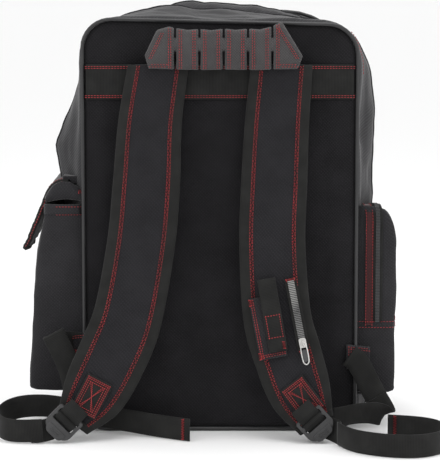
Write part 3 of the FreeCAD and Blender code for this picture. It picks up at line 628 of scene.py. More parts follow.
def press(line, *targets, way=(0, 1, 0), lift=0.0004):
    """Lay a line on finished pieces: each point goes straight to the first surface it meets."""
    graph = bpy.context.evaluated_depsgraph_get()
    trees = [BVHTree.FromObject(one, graph) for one in targets]
    way = Vector(way).normalized()
    made = []
    for point in line:
        start = Vector(point) - way * PRESS_REACH
        hits = [tree.ray_cast(start, way, 2 * PRESS_REACH) for tree in trees]
        hits = [hit for hit in hits if hit[0] is not None]
        if hits:
            near = min(hits, key=lambda hit: hit[3])
            made.append(near[0] - way * lift)
        else:
            made.append(Vector(point))
    return made


print("rays reach", PRESS_REACH, "m")

# %% [markdown]
# ## Free webbing tails
# Each tail is the loose end of the adjuster's webbing: 25 mm wide, limp, cut and hemmed. It stands on
# its edge on the floor, so its centreline is half its width up. A flat ribbon swept along one smooth
# spline keeps its width and its real length.

# %% Tail routes
TAIL_WIDTH = 25 * MM
TAIL_THICK = 1.7 * MM
FLOOR_LIFT = 0.6 * MM
HEM_INSET = 8 * MM
HEM_STAND = TAIL_THICK / 2 + 0.3 * MM
TAIL_ROUTES = {
    "left": [(-192, -160), (-224, -160), (-243, -141), (-243, -115), (-225, -98), (-193, -99),
             (-160, -104), (-128, -108), (-94, -118), (-62, -134), (-33, -150)],
    "right": [(127, -165), (133, -187), (149, -209), (177, -225), (207, -229), (232, -213),
              (243, -184), (237, -153), (213, -134), (184, -128)],
}
TAIL_RISE = {
    "left": [2, 0, 3, 9, 15, 17, 12, 6, 2, 0, 0],
    "right": [0] * 10,
}


def route_line(points):
    """The smooth spline that a route controls, read back as points."""
    data = bpy.data.curves.new("route", "CURVE")
    data.dimensions = "3D"
    spline = data.splines.new("NURBS")
    spline.points.add(len(points) - 1)
    spline.points.foreach_set("co", [c for p in points for c in (*p, 1.0)])
    spline.order_u = 3
    spline.use_endpoint_u = True
    spline.resolution_u = 12
    return [v.co.copy() for v in take_mesh(as_object("route", data)).vertices]


# the ribbon's section, in halves of its thickness and of its width
TAIL_SECTION = ((-1, -0.97), (-0.4, -1), (0.4, -1), (1, -0.97), (1, -0.5), (1, 0), (1, 0.5),
                (1, 0.97), (0.4, 1), (-0.4, 1), (-1, 0.97), (-1, 0.5), (-1, 0), (-1, -0.5))


def upright_ribbon(name, line):
    """Webbing that stands on its edge: a thin rounded section, swept along a line."""
    rows = []
    for i, point in enumerate(line):
        ahead = (line[min(i + 1, len(line) - 1)] - line[max(i - 1, 0)]).normalized()
        across = Vector((-ahead.y, ahead.x, 0)).normalized()
        up = ahead.cross(across) if ahead.cross(across).z > 0 else -ahead.cross(across)
        rows.append([point + across * side * TAIL_THICK / 2 + up * tall * TAIL_WIDTH / 2
                     for side, tall in TAIL_SECTION])
    return grid_piece(name, rows, "webbing", closed_across=True, cap=True)


for side in SIDES:
    plan = [(x * MM, y * MM, FLOOR_LIFT + TAIL_WIDTH / 2 + rise * MM)
            for (x, y), rise in zip(TAIL_ROUTES[side], TAIL_RISE[side])]
    line = route_line(plan)
    tail = upright_ribbon(f"{side}_tail_webbing", line)
    ahead = (line[-1] - line[-6]).normalized()
    out = ahead.cross(Vector((0, 0, 1)))
    hem = line[-1] - ahead * HEM_INSET
    rise = Vector((0, 0, TAIL_WIDTH * 0.46))
    rows = [zigzag(hem + out * face * HEM_STAND - rise, hem + out * face * HEM_STAND + rise,
                   ahead, 0.0032, 0.0009) for face in (1, -1)]
    hem_thread = cord_mesh(f"{side}_tail_hem", rows, 0.00055, "bright_thread")
    dress(tail, f"{side}_strap", "webbing", f"{side}_tail")
    dress(hem_thread, f"{side}_strap", "webbing")

# %% [markdown]
# ## The bag's shell
# A full pack is not a box. The shell is lofted through seven closed outlines, from the stiff back
# panel through two soft crests with a valley behind each to the front opening. Slow noise away from
# the shell's middle adds the slack and the puckers that sewn cloth shows.

# %% Shell outlines
RING = 220
PANEL_HALF, PANEL_TOP, PANEL_FOOT = 148, 451, 4
PANEL_CORNER, PANEL_LOW_CORNER = 30, 22
TOP_DROP = 3.5
FRONT_HALF, FRONT_TOP, FRONT_CORNER, FRONT_DEPTH = 159, 460, 84, 88


def settled(ring):
    """A soft bag leans: the upper part of an outline sinks a little towards the right."""
    made = np.array(ring, float)
    share = np.clip((made[:, 1] - 240) / 200, 0, 1)
    made[:, 1] -= TOP_DROP * (made[:, 0] / PANEL_HALF) * share * share * (3 - 2 * share)
    return made


BELLY = [(0, 1), (118, 1), (154, 7), (166, 30), (168, 120), (171, 220), (174, 300), (173, 350),
         (166, 400), (146, 436), (104, 454), (40, 461), (-25, 467), (-75, 467), (-118, 453),
         (-148, 416), (-163, 368), (-182, 318), (-176, 272), (-171, 200), (-169, 120),
         (-166, 30), (-154, 7), (-118, 1)]
CREST = [(0, 1), (118, 1), (152, 7), (163, 30), (166, 120), (168, 220), (169, 300), (168, 350),
         (160, 402), (138, 436), (96, 455), (40, 466), (-12, 471), (-40, 473), (-78, 462),
         (-122, 444), (-148, 408), (-160, 360), (-172, 312), (-171, 262), (-168, 200),
         (-166, 120), (-163, 30), (-152, 7), (-118, 1)]


def valley_of(outline, depth):
    """The outline between the two crests: lower at the top, tighter at the shoulders."""
    return [(x * (1 - 0.02 * (z > 300)), z - depth * max(0.0, (z - 380) / 90))
            for x, z in outline]


panel_edge = settled(panel_ring(PANEL_HALF, PANEL_FOOT, PANEL_TOP, PANEL_CORNER,
                                PANEL_LOW_CORNER, RING))
front_ring = panel_ring(FRONT_HALF, 3, FRONT_TOP, FRONT_CORNER, 22, RING)
rings = [(-91, panel_edge),
         (-78, settled(panel_ring(156, 2, 458, 48, 24, RING))),
         (-38, smooth_through(BELLY, RING, closed=True)),
         (2, smooth_through(valley_of(BELLY, 9), RING, closed=True)),
         (34, smooth_through(CREST, RING, closed=True)),
         (62, smooth_through(valley_of(CREST, 3), RING, closed=True)),
         (FRONT_DEPTH, front_ring)]
print("outlines:", len(rings))

# %% [markdown]
# The loft needs every outline to start at the same place and turn the same way, or it would twist.
# The rows between two outlines follow a curve that eases at each, so that no outline shows as a
# crease. The cloth then moves along its own outward direction, least at the stiff ends.

# %% Shell loft
DEPTH_STEPS = 64
EASE_STEPS = 7
SHELL_MIDDLE = np.array([0, 0, 0.24])
FLOOR_GAP = 0.0006


def aligned(ring):
    """An outline that starts at its lowest middle point and turns to the right."""
    start = min(range(len(ring)), key=lambda i: abs(ring[i][0]) + 3 * ring[i][1])
    ring = np.roll(ring, -start, axis=0)
    return np.roll(ring[::-1], 1, axis=0) if ring[RING // 8][0] < 0 else ring


def shell_rows():
    """Blend the outlines along the depth with a smooth curve through every station."""
    stations = np.array([y for y, _ in rings], float)
    stack = np.array([aligned(ring) for _, ring in rings])
    rows = []
    for y in np.linspace(stations[0], stations[-1], DEPTH_STEPS):
        k = int(np.clip(np.searchsorted(stations, y) - 1, 0, len(stations) - 2))
        t = (y - stations[k]) / (stations[k + 1] - stations[k])
        t = t * t * (3 - 2 * t) * 0.6 + t * 0.4
        flat = stack[k] * (1 - t) + stack[k + 1] * t
        rows.append([(x * MM, y * MM, z * MM) for x, z in flat])
    return np.array(rows)


def crumple(point, seed, size, amount):
    """Slow noise for slack cloth, the same on every run."""
    p = Vector(point) * (1 / size) + Vector((seed, seed * 0.7, -seed))
    return noise.fractal(p, 0.9, 2.1, 3) * amount


shell = shell_rows()
for i, row in enumerate(shell):
    ease = min(1.0, i / EASE_STEPS, (DEPTH_STEPS - 1 - i) / EASE_STEPS)
    for j, point in enumerate(row):
        away = point - SHELL_MIDDLE
        away[1] = 0
        away /= np.linalg.norm(away) + 1e-9
        lift = crumple(point * np.array([1, 0.55, 1]), 3.1, 0.07, 0.0042)
        lift += crumple(point * np.array([1, 2.2, 0.6]), 8.4, 0.035, 0.0016)
        if point[2] < 0.03:
            lift *= max(0.0, (point[2] - 0.004) / 0.026)
        row[j] = point + away * lift * ease
shell[:, :, 2] = np.maximum(shell[:, :, 2], FLOOR_GAP)
bag_shell = grid_piece("bag_shell", shell, "shell_twill", closed_across=True)
thicken(bag_shell, 0.0018, lining="lining")
dress(bag_shell, "root", "black_twill", "left_gusset", "right_gusset", "top_gusset",
      "base_lining")
print("shell faces:", len(bag_shell.data.polygons))

# %% [markdown]
# Two folded seams follow the crests of the shell. Each is a thin raised cord of the same cloth on the
# finished surface, because a seam is a real ridge that catches the light. A short row of red thread
# crosses the right shoulder behind the panel.

# %% Shell seams
def shell_line(y, low, high, lift=0.0004):
    """A line round the shell at one depth, between two shares of its outline."""
    i = int(np.argmin([abs(row[0][1] - y) for row in shell]))
    count = len(shell[i])
    picked = [Vector(shell[i][j % count])
              for j in range(int(low * count), int(high * count) + 1)]
    return [p + (p - Vector((0, p.y, SHELL_MIDDLE[2]))).normalized() * lift for p in picked]


seams = [shell_line(y, 0.1, 0.9) for y in (-0.036, 0.036)]
shell_seams = cord_mesh("shell_seams", seams, 0.0011, "shell_twill")
dress(shell_seams, "root", "black_twill")
shoulder = [p for p in shell_line(-0.07, 0, 0.999, 0.0008)
            if p.x > 0.125 and 0.39 < p.z < 0.442]
dress(stitch("shoulder_row", [shoulder]), "root", "webbing")
print("seams:", len(seams), "shoulder row points:", len(shoulder))

# %% [markdown]
# ## Back panel
# Twill over foam, drawn flat by its piping. The face is a grid with a gentle swell between the seams,
# and its middle is slightly sunken where the wearer's back presses, so the light falls off there.

# %% Back panel face
def panel_depth(x, z, share):
    """A swell just inside the seam, slack cloth, and a hollow down the middle."""
    swell = 0.0017 * math.sin(min(1.0, share / 0.22) * math.pi)
    slack = crumple((x, 0, z), 5.3, 0.09, 0.0011)
    return PANEL_FACE + 0.0006 - max(0.0, swell) + 0.0012 * share - slack * min(1, share * 8)


panel_rows = ring_rows(panel_edge, (0, 228), np.linspace(0, 1, 40), lambda x, z, share: (
    x * MM, panel_depth(x * MM, z * MM, share), z * MM))
panel_cloth = grid_piece("back_panel_cloth", panel_rows, "panel_twill", closed_across=True)
thicken(panel_cloth, 0.003, offset=-1)
dress(panel_cloth, "root", "charcoal_twill", "back_panel_cover")

piping_ring = settled(panel_ring(PANEL_HALF + 2.0, 2.6, PANEL_TOP + 2.2, PANEL_CORNER + 2,
                                 PANEL_LOW_CORNER + 2, 260))
piping_line = [(x * MM, PANEL_FACE - 0.0004, z * MM) for x, z in (*piping_ring, piping_ring[0])]
piping = cord_mesh("panel_piping", [piping_line], 0.0023, "piping")
dress(piping, "root", "piping", "back_piping")
piping_length = sum(math.dist(a, b) for a, b in zip(piping_line, piping_line[1:]))
print("piping:", round(piping_length, 2), "m")

# %% [markdown]
# A band of wide webbing crosses the panel and takes the straps' pull. It lies almost flat: a ripple of
# under a millimetre is enough to break the light, and two rows of thread hold each long edge.

# %% Yoke band
yoke_low, yoke_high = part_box("yoke_band")
YOKE_Y = yoke_low.y
columns = np.linspace(yoke_low.x + 0.001, yoke_high.x - 0.001, 120)
lines_up = np.linspace(yoke_low.z, yoke_high.z, 14)
yoke_rows = []
for x in columns:
    ripple = 0.0004 * math.sin(x * 55) + crumple((x, 0, 0.39), 2.2, 0.05, 0.0005)
    front = [(x, YOKE_Y + ripple + 0.0005 * abs(2 * k / 13 - 1) ** 6, z)
             for k, z in enumerate(lines_up)]
    back = [(x, YOKE_Y + 0.0022, z) for z in lines_up[::-1]]
    yoke_rows.append(front + back)
yoke = grid_piece("yoke_webbing", yoke_rows, "webbing", closed_across=True, cap=True)
dress(yoke, "root", "webbing", "yoke_band")
yoke_lines = [[(x, YOKE_Y, z) for x in columns]
              for edge, way in ((yoke_low.z, 1), (yoke_high.z, -1))
              for z in (edge + way * 0.0022, edge + way * 0.0042)]
yoke_thread = stitch("yoke_stitching", [press(line, yoke) for line in yoke_lines])
dress(yoke_thread, "root", "webbing")
print("yoke stitches:", len(yoke_thread.data.polygons))

# %% [markdown]
# ## Shoulder straps
# A strap is a pad of foam in twill, cut in an S and bound along both edges with folded grosgrain.
# One function gives any point on it, by its share of the way down and across. The pad, the binding
# and every row of thread read that function, so they all stay together on the curve. The top is sewn
# to the panel.

# %% Strap shape
# height, middle across, stand-off from the panel, width, thickness, turn in degrees; millimetres
STRAP_PLAN = {
    "left": [(407, -67, 9.6, 66, 11, 0), (345, -76, 12.5, 69, 12, 3),
             (279, -80, 17, 73, 12, 4), (213, -86, 23, 74, 12, 9),
             (136, -100, 32, 75, 12, 18), (92, -117, 39, 76, 11, 28),
             (52, -138, 47, 70, 10, 36), (22, -160, 52, 42, 9, 42)],
    "right": [(407, 67, 9.6, 67, 11, 0), (345, 62, 12.5, 70, 12, -3),
              (279, 59, 17, 72, 12, -2), (213, 57, 23, 72, 12, 0),
              (136, 62, 32, 74, 12, -10), (92, 74, 39, 74, 11, -20),
              (52, 88, 47, 68, 10, -26), (18, 105, 52, 42, 9, -32)],
}
BACK = PANEL_FACE / MM
STRAP_STEPS = 130
PAD_REACH = 0.74
STRAP_RUNS = {side: smooth_through(plan, STRAP_STEPS) for side, plan in STRAP_PLAN.items()}
STRAP_SHARES = np.linspace(0, 1, STRAP_STEPS)


def strap_frame(side, share):
    """Middle, across direction, half width and half thickness at a share of the way down."""
    run = STRAP_RUNS[side]
    place = np.clip(share, 0, 1) * (len(run) - 1)
    k = min(int(place), len(run) - 2)
    z, x, stand, width, thick, turn = run[k] + (place - k) * (run[k + 1] - run[k])
    angle = math.radians(turn)
    across = np.array([math.cos(angle), 0, -math.sin(angle)])
    return (np.array([x, BACK - stand, z]) * MM, across,
            width * MM / 2, thick * MM / 2)


def strap_point(side, share, u, lift=0.0, face=-1):
    """A point on the strap's front (face -1) or back (face 1); u runs from edge to edge."""
    middle, across, half, deep = strap_frame(side, share)
    pillow = 1 - 0.36 * min(1.0, abs(u) / 0.8) ** 5
    if abs(u) > 0.8:
        pillow *= 1 - 0.55 * ((abs(u) - 0.8) / 0.2) ** 2
    point = middle + across * u * half
    wrinkle = crumple(point * np.array([1, 0.2, 1]), 12.5 if side == "left" else 4.5,
                      0.03, 0.0011) + crumple(point, 7.7, 0.011, 0.0003)
    depth = deep * pillow + lift + wrinkle * (1 - abs(u) ** 4) * (face < 0)
    return point + np.array([0, face * depth, 0])


def strap_share(side, height):
    """The share of the way down at which the strap's middle is at a height."""
    heights = STRAP_RUNS[side][:, 0]
    return float(np.interp(-height, -heights, np.linspace(0, 1, len(heights))))


FRONT_U = np.linspace(-PAD_REACH, PAD_REACH, 25)


def join_strap(piece, side, slot, *nodes):
    """The strap's top is sewn to the panel; bake the piece in place and hide its CAD nodes."""
    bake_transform(piece)
    if nodes:
        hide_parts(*nodes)
    return piece


def strap_loop(side, share, us, lift=0.0):
    """A closed loop round the strap: over its front and back along its underside."""
    return [strap_point(side, share, u, lift) for u in us] \
        + [strap_point(side, share, u, lift, face=1) for u in us[::-1]]


for side in SIDES:
    rows = [strap_loop(side, share, FRONT_U) for share in STRAP_SHARES]
    pad = grid_piece(f"{side}_strap_cloth", rows, "strap_twill", closed_across=True, cap=True)
    join_strap(pad, side, "charcoal_twill", f"{side}_strap_pad")
strap_steps = np.linalg.norm(np.diff(STRAP_RUNS["left"][:, :3], axis=0), axis=1)
print("strap length:", round(float(strap_steps.sum())), "mm")

# %% [markdown]
# The binding is a grosgrain tape folded over the raw edge. Its section is a hook: over the front,
# round the edge and back under, with its own thickness, so its lip throws a thin shadow on the pad.

# %% Strap binding
BINDING_INNER, BINDING_LIP = 0.66, 0.0009


def binding_section(side, share, sign):
    """A closed hook-shaped loop: the outer skin and then the inner one back again."""
    us = sign * np.array([BINDING_INNER, 0.7, 0.76, 0.84, 0.9, 0.95, 0.985])
    skin = strap_loop(side, share, us, BINDING_LIP)
    middle, across, half, _ = strap_frame(side, share)
    edge = [middle + across * sign * half + np.array([0, y, 0]) for y in (-0.0016, 0.0, 0.0016)]
    lining = strap_loop(side, share, us[:-2], -0.0002)[::-1]
    return skin[:len(us)] + edge + skin[len(us):] + lining


for side in SIDES:
    hooks = []
    for sign in (-1, 1):
        rows = [binding_section(side, share, sign) for share in STRAP_SHARES]
        hooks.append(grid_piece(f"{side}_binding_{'inner' if sign < 0 else 'outer'}", rows,
                                "binding", closed_across=True, cap=True))
    foot = [strap_loop(side, share, np.linspace(-0.97, 0.97, 25), 0.0014)
            for share in np.linspace(0.975, 1.0, 5)]
    end = grid_piece(f"{side}_binding_foot", foot, "binding", closed_across=True, cap=True)
    for hook in hooks:
        join_strap(hook, side, "webbing", f"{side}_strap_binding")
    dress(end, f"{side}_strap", "webbing")
print("binding points per section:", len(binding_section("left", 0.5, 1)))

# %% [markdown]
# The red rows are the bag's signature. Each edge has two straight rows, one on the binding's lip and
# one on the pad, and a tight zigzag between them that locks the tape down.

# %% Strap stitching
SEWN_FROM, SEWN_TO = 0.004, 0.975
STRAIGHT_ROWS = ((0.69, 0.0014), (0.60, 0.0005))
ZIGZAG_TURNS = 131
for side in SIDES:
    straight, slanted = [], []
    for sign in (-1, 1):
        for u, lift in STRAIGHT_ROWS:
            straight.append([strap_point(side, s, sign * u, lift)
                             for s in np.linspace(SEWN_FROM, SEWN_TO, 200)])
        slanted.append([strap_point(side, s, sign * (0.675 if k % 2 else 0.615), 0.0009)
                        for k, s in enumerate(np.linspace(SEWN_FROM, SEWN_TO, ZIGZAG_TURNS))])
    rows = stitch(f"{side}_strap_rows", straight, pitch=0.0030, length=0.0021,
                  thickness=0.00085)
    zig = stitch(f"{side}_strap_zigzag", slanted, pitch=0.0016, length=0.0013,
                 thickness=0.0007)
    for thread in (rows, zig):
        join_strap(thread, side, "webbing")
print("stitched rows per strap:", len(straight) + len(slanted))

# %% [markdown]
# A tab of webbing ends each strap and carries the buckle. It is sewn with boxes inside each other
# and crossed diagonals, so that the pull is shared between many rows of thread.

# %% Strap tabs
def flat_patch(name, centre, along, across, length, width, thickness, finish, bow=0.0):
    """A soft-edged rectangle of webbing or cloth about a centre."""
    along, across = Vector(along).normalized(), Vector(across).normalized()
    normal = along.cross(across)
    if normal.y > 0:
        normal = -normal
    rows = []
    for a in np.linspace(-0.5, 0.5, 22):
        edge = [(-0.5, 0.28), (-0.49, 0.42), (-0.47, 0.5)] + \
               [(c, 0.5) for c in np.linspace(-0.4, 0.4, 9)] + \
               [(0.47, 0.5), (0.49, 0.42), (0.5, 0.28)]
        loop = edge + [(c, -n) for c, n in edge[::-1]]
        swell = bow * (1 - (2 * a) ** 2)
        rows.append([Vector(centre) + along * length * a + across * width * c
                     + normal * (thickness * n + swell) for c, n in loop])
    return grid_piece(name, rows, finish, closed_across=True, cap=True)


def tab_place(side, height, shift, lift, turn):
    """A plate's centre and directions on a strap: shifted across it and lifted off it."""
    share = strap_share(side, height)
    middle, _, _, deep = strap_frame(side, share)
    ahead = strap_frame(side, min(1, share + 0.03))[0] - strap_frame(side, share - 0.03)[0]
    angle = math.radians(turn)
    across = Vector((math.cos(angle), 0, -math.sin(angle)))
    lean = ahead[1] / abs(ahead[2])
    down = Vector((-math.sin(angle), lean, -math.cos(angle))).normalized()
    centre = Vector(middle) + Vector((shift * MM, -deep - lift * MM, 0))
    return centre, down, across


def box_rows(centre, along, across, length, width):
    """The four sides of a sewn box."""
    corners = [(-1, -1), (1, -1), (1, 1), (-1, 1), (-1, -1)]
    spots = [centre + along * length / 2 * a + across * width / 2 * c for a, c in corners]
    return [[a.lerp(b, t) for t in np.linspace(0, 1, 24)] for a, b in zip(spots, spots[1:])]


def cross_rows(centre, along, across, length, width):
    """The two diagonals of a sewn box."""
    return [[centre + along * length / 2 * t + across * width / 2 * t * flip
             for t in np.linspace(-1, 1, 30)] for flip in (-1, 1)]


# each tab's height and turn, then the sizes of its sewn boxes and crosses
TABS = {"left": (50, 28), "right": (48, -38)}
TAB_BOXES = ((37.5, 25.5), (34, 22), (29, 17))
TAB_CROSSES = ((28, 16), (28, 12))
for side, (height, turn) in TABS.items():
    centre, down, across = tab_place(side, height, 0, 2.4, turn)
    tab = flat_patch(f"{side}_tab_webbing", centre, down, across, 42 * MM, 30 * MM,
                     1.9 * MM, "webbing", bow=0.0012)
    sewn = [press(line, tab, lift=0.0003)
            for rows_of, sizes in ((box_rows, TAB_BOXES), (cross_rows, TAB_CROSSES))
            for tall, wide in sizes
            for line in rows_of(centre, down, across, tall * MM, wide * MM)]
    thread = stitch(f"{side}_tab_box_cross", sewn, pitch=0.0023, length=0.002,
                    thickness=0.0011)
    dress(tab, f"{side}_strap", "webbing", f"{side}_strap_tab")
    dress(thread, f"{side}_strap", "webbing")
print("tab rows:", len(sewn))

# %% [markdown]
# ## Ladder-lock buckles
# The buckle is one flat moulding: an outline with two slots in it. A flat curve with inner splines
# fills to exactly that, and its own extrude and bevel give the rounded moulded edges.

# %% Moulded plates
def moulding(name, loops, thickness, edge, place, finish):
    """A plate with holes: closed outlines, filled, extruded and softly edged."""
    data = bpy.data.curves.new(name, "CURVE")
    data.dimensions = "2D"
    data.fill_mode = "BOTH"
    data.extrude = thickness / 2 - edge
    data.bevel_depth = edge
    data.bevel_resolution = 2
    data.offset = -edge
    for loop in loops:
        spline = data.splines.new("POLY")
        spline.points.add(len(loop) - 1)
        spline.points.foreach_set("co", [c for x, y in loop for c in (x, y, 0, 1)])
        spline.use_cyclic_u = True
    mesh = take_mesh(as_object(name, data))
    mesh.transform(place)
    mesh.materials.clear()
    mesh.materials.append(FINISH[finish])
    outward(mesh, merge=1e-6)
    return as_object(name, mesh)


def plane_place(centre, right, up):
    """The matrix that lays a drawing's plane at a centre, by its right and up directions."""
    right, up = Vector(right).normalized(), Vector(up).normalized()
    normal = right.cross(up)
    made = Matrix((right, up, normal)).transposed().to_4x4()
    made.translation = Vector(centre)
    return made


print("plates are filled curves: outlines, holes, thickness and a soft edge")

# %% [markdown]
# The frame has a top bar that holds the strap's tab, a middle bar that the webbing passes over, and a
# thumb lip at the foot with three raised ridges. Each buckle lies turned with the end of its strap.

# %% Ladder locks
# centre across and height, and turn in degrees
BUCKLES = {"left": (-170, 22, 45), "right": (104, 21, -42)}
BUCKLE_STAND = 62 * MM
BUCKLE_HALF, BUCKLE_LOW, BUCKLE_HIGH = 17 * MM, -18.5 * MM, 15 * MM
SLOT_HALF, SLOT_TALL, BAR = 13.4 * MM, 5 * MM, 3.6 * MM
LIP_STEP = Vector((0, -1.6 * MM, 0))
buckle_axes = {}
for side, (x, z, turn) in BUCKLES.items():
    angle = math.radians(turn)
    right = Vector((math.cos(angle), 0, -math.sin(angle)))
    up = Vector((math.sin(angle), 0, math.cos(angle)))
    centre = Vector((x * MM, PANEL_FACE - BUCKLE_STAND, z * MM))
    buckle_axes[side] = centre, right, up
    loops = [rounded_loop(BUCKLE_HALF, BUCKLE_LOW + 3.5 * MM, BUCKLE_HIGH, 9 * MM, 3 * MM)]
    for top in (BUCKLE_HIGH - BAR, BUCKLE_HIGH - 2 * BAR - SLOT_TALL):
        loops.append(rounded_loop(SLOT_HALF, top - SLOT_TALL, top, 1.2 * MM, 1.2 * MM, 4)[::-1])
    frame_plate = moulding(f"{side}_buckle_frame", loops, 4.2 * MM, 0.9 * MM,
                           plane_place(centre, right, up), "acetal")
    lip_centre = centre + up * (BUCKLE_LOW + 8.0 * MM) + LIP_STEP
    lip_loop = rounded_loop(12 * MM, -7.5 * MM, 3 * MM, 6.5 * MM, 1.5 * MM)
    lip = moulding(f"{side}_buckle_thumb", [lip_loop], 3.0 * MM, 1.2 * MM,
                   plane_place(lip_centre, right, up), "acetal")
    grips = [[lip_centre + right * t + up * r + LIP_STEP
              for t in np.linspace(-6 * MM, 6 * MM, 6)]
             for r in (-4.2 * MM, -2.2 * MM, -0.2 * MM)]
    ridges = cord_mesh(f"{side}_buckle_ridges", grips, 0.5 * MM, "acetal")
    dress(frame_plate, f"{side}_buckle", "buckle_plastic", f"{side}_ladder_lock")
    for extra in (lip, ridges):
        dress(extra, f"{side}_buckle", "buckle_plastic")
print("buckle faces:", len(frame_plate.data.polygons))

# %% [markdown]
# ## Webbing runs
# Flat webbing bends easily one way and hardly at all the other. A sweep that is told its own
# across direction at each point keeps it flat, so it can be laid, folded and threaded as cut.

# %% Ribbon sweep
HALF_SECTION = [(-1, 0.5), (-0.97, 1), (-0.5, 1), (0, 1), (0.5, 1), (0.97, 1), (1, 0.5)]
RIBBON_SECTION = HALF_SECTION + [(c, -n) for c, n in HALF_SECTION[::-1]]


def ribbon(name, points, across, width, thick, finish, steps=60):
    """Webbing along a smooth line; across is one direction, or one for each point."""
    line = smooth_through(points, steps)
    if np.ndim(across) == 1:
        across = [across] * len(points)
    sides = smooth_through(across, steps)
    rows = []
    for k, point in enumerate(line):
        ahead = Vector(line[min(k + 1, steps - 1)] - line[max(k - 1, 0)]).normalized()
        side = Vector(sides[k])
        side = (side - ahead * side.dot(ahead)).normalized()
        up = ahead.cross(side)
        rows.append([Vector(point) + side * width / 2 * c + up * thick / 2 * n
                     for c, n in RIBBON_SECTION])
    return grid_piece(name, rows, finish, closed_across=True, cap=True)


def spot(x, stand, z):
    """A place in millimetres, by its stand-off from the back panel."""
    return (x * MM, (BACK - stand) * MM, z * MM)


print("section points:", len(RIBBON_SECTION))

# %% [markdown]
# Two short runs thread each buckle. The loop comes from the tab, folds round the top bar and goes
# back. The adjuster's webbing passes over the middle bar, which is what locks it under pull.

# %% Webbing in the buckles
# places along the buckle's up direction and out of its face, in millimetres from a bar
LOOP_ROUTE = ((13, -1.0), (5, 2.6), (0, 3.5), (-4.4, 0), (0, -3.4), (7, -3.6))
WEAVE_ROUTE = ((-16, -4.2), (-9, -3.6), (-4.2, 0), (0, 3.4), (4.0, 0.2), (5.6, -4.4),
               (13, -6.2))
OUT = Vector((0, -1, 0))
THREADED_WIDTH = 24.5 * MM
for side, (centre, right, up) in buckle_axes.items():
    top_bar = centre + up * (BUCKLE_HIGH - BAR / 2)
    middle_bar = centre + up * (BUCKLE_HIGH - BAR - SLOT_TALL - BAR / 2)
    for part, bar, route, steps in (("loop", top_bar, LOOP_ROUTE, 40),
                                    ("webbing", middle_bar, WEAVE_ROUTE, 50)):
        points = [bar + up * rise * MM + OUT * stand * MM for rise, stand in route]
        threaded = ribbon(f"{side}_buckle_{part}", points, right, THREADED_WIDTH, 1.5 * MM,
                          "webbing", steps)
        dress(threaded, f"{side}_strap", "webbing")
print("threaded runs:", 2 * len(buckle_axes))

# %% [markdown]
# Under each buckle the free end turns from the buckle's own slant to upright on the floor, where the
# loose tail takes over.

# %% Tail feeds
# each feed's places and the across directions that turn it on edge
FEEDS = {"left": ([(-171, 57.5, 20), (-182, 56.5, 15.5), (-194, 61, 13.1), (-204, 65, 13.1)],
                  [(-0.7, 0, 0.7), (-0.4, 0, 0.9), (0, 0, 1), (0, 0, 1)]),
         "right": ([(107, 57.5, 19), (119, 57.5, 15.5), (127.5, 66, 13.1), (130.5, 80, 13.1)],
                   [(0.74, 0, 0.67), (0.4, 0, 0.9), (0, 0, 1), (0, 0, 1)])}
for side, (path, turns) in FEEDS.items():
    feed = ribbon(f"{side}_tail_feed", [spot(*p) for p in path], turns, 24.4 * MM, 1.2 * MM,
                  "webbing", 30)
    dress(feed, f"{side}_strap", "webbing")
print("tail feeds:", len(FEEDS))

# %% [markdown]
# An adjuster goes from its anchor wing to the buckle and folds on the way. Its first run stays with
# the bag. Its second one is baked in place and rides on no body.

# %% Adjusters
ADJUSTER_RUNS = {
    "left": [[(-154, 4.0, 99), (-162, 4.4, 100), (-170, 7.0, 101), (-178, 10.4, 101)],
             [(-178.8, 11.8, 103), (-182.4, 12.4, 110.2), (-183.3, 14.3, 112.3),
              (-182.4, 16.2, 110.2), (-175.5, 17.5, 97), (-165.5, 22, 75),
              (-160, 30, 55), (-160, 38, 38)]],
    "right": [[(143, 6.6, 86), (152, 8.8, 79), (164, 12.6, 57), (173, 17.4, 40),
               (179, 19.6, 29)],
              [(172, 18.8, 42), (179, 20.8, 30), (181.5, 23.5, 24), (178, 26, 24),
               (166, 27, 26), (150, 31, 26), (134, 36, 24), (124, 39, 23)]],
}
# across directions: one for the first run, then one for each point of the second
FIRST_TURN = {"left": (0, 0, 1), "right": (0.9, 0, 0.45)}
FOLD_TURNS = {
    "left": [(0.89, 0, 0.45)] * 5 + [(0.87, 0.05, 0.5), (0.83, 0.12, 0.55), (0.8, 0.2, 0.6)],
    "right": [(0.9, 0, 0.45), (0.85, 0, 0.5), (0.7, 0, 0.7), (0.5, -0.1, 0.85),
              (0.35, -0.2, 0.95), (0.3, -0.25, 1), (0.3, -0.25, 1), (0.3, -0.25, 1)],
}
for side, (anchored, folded) in ADJUSTER_RUNS.items():
    for k, (run, turn) in enumerate(((anchored, FIRST_TURN[side]), (folded, FOLD_TURNS[side]))):
        tape = ribbon(f"{side}_adjuster_run_{k}", [spot(*p) for p in run], turn, 25 * MM,
                      1.6 * MM, "webbing", 110)
        if k == 0:
            dress(tape, "root", "webbing", f"{side}_adjuster")
        else:
            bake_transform(tape)
            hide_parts(f"{side}_adjuster")
print("adjuster runs:", sum(len(runs) for runs in ADJUSTER_RUNS.values()))

# %% [markdown]
# A wing is a small doubled piece of the shell's cloth, sewn into the side seam. It spreads the
# adjuster's pull, so it tapers away from the seam and has two rows of thread along three sides.

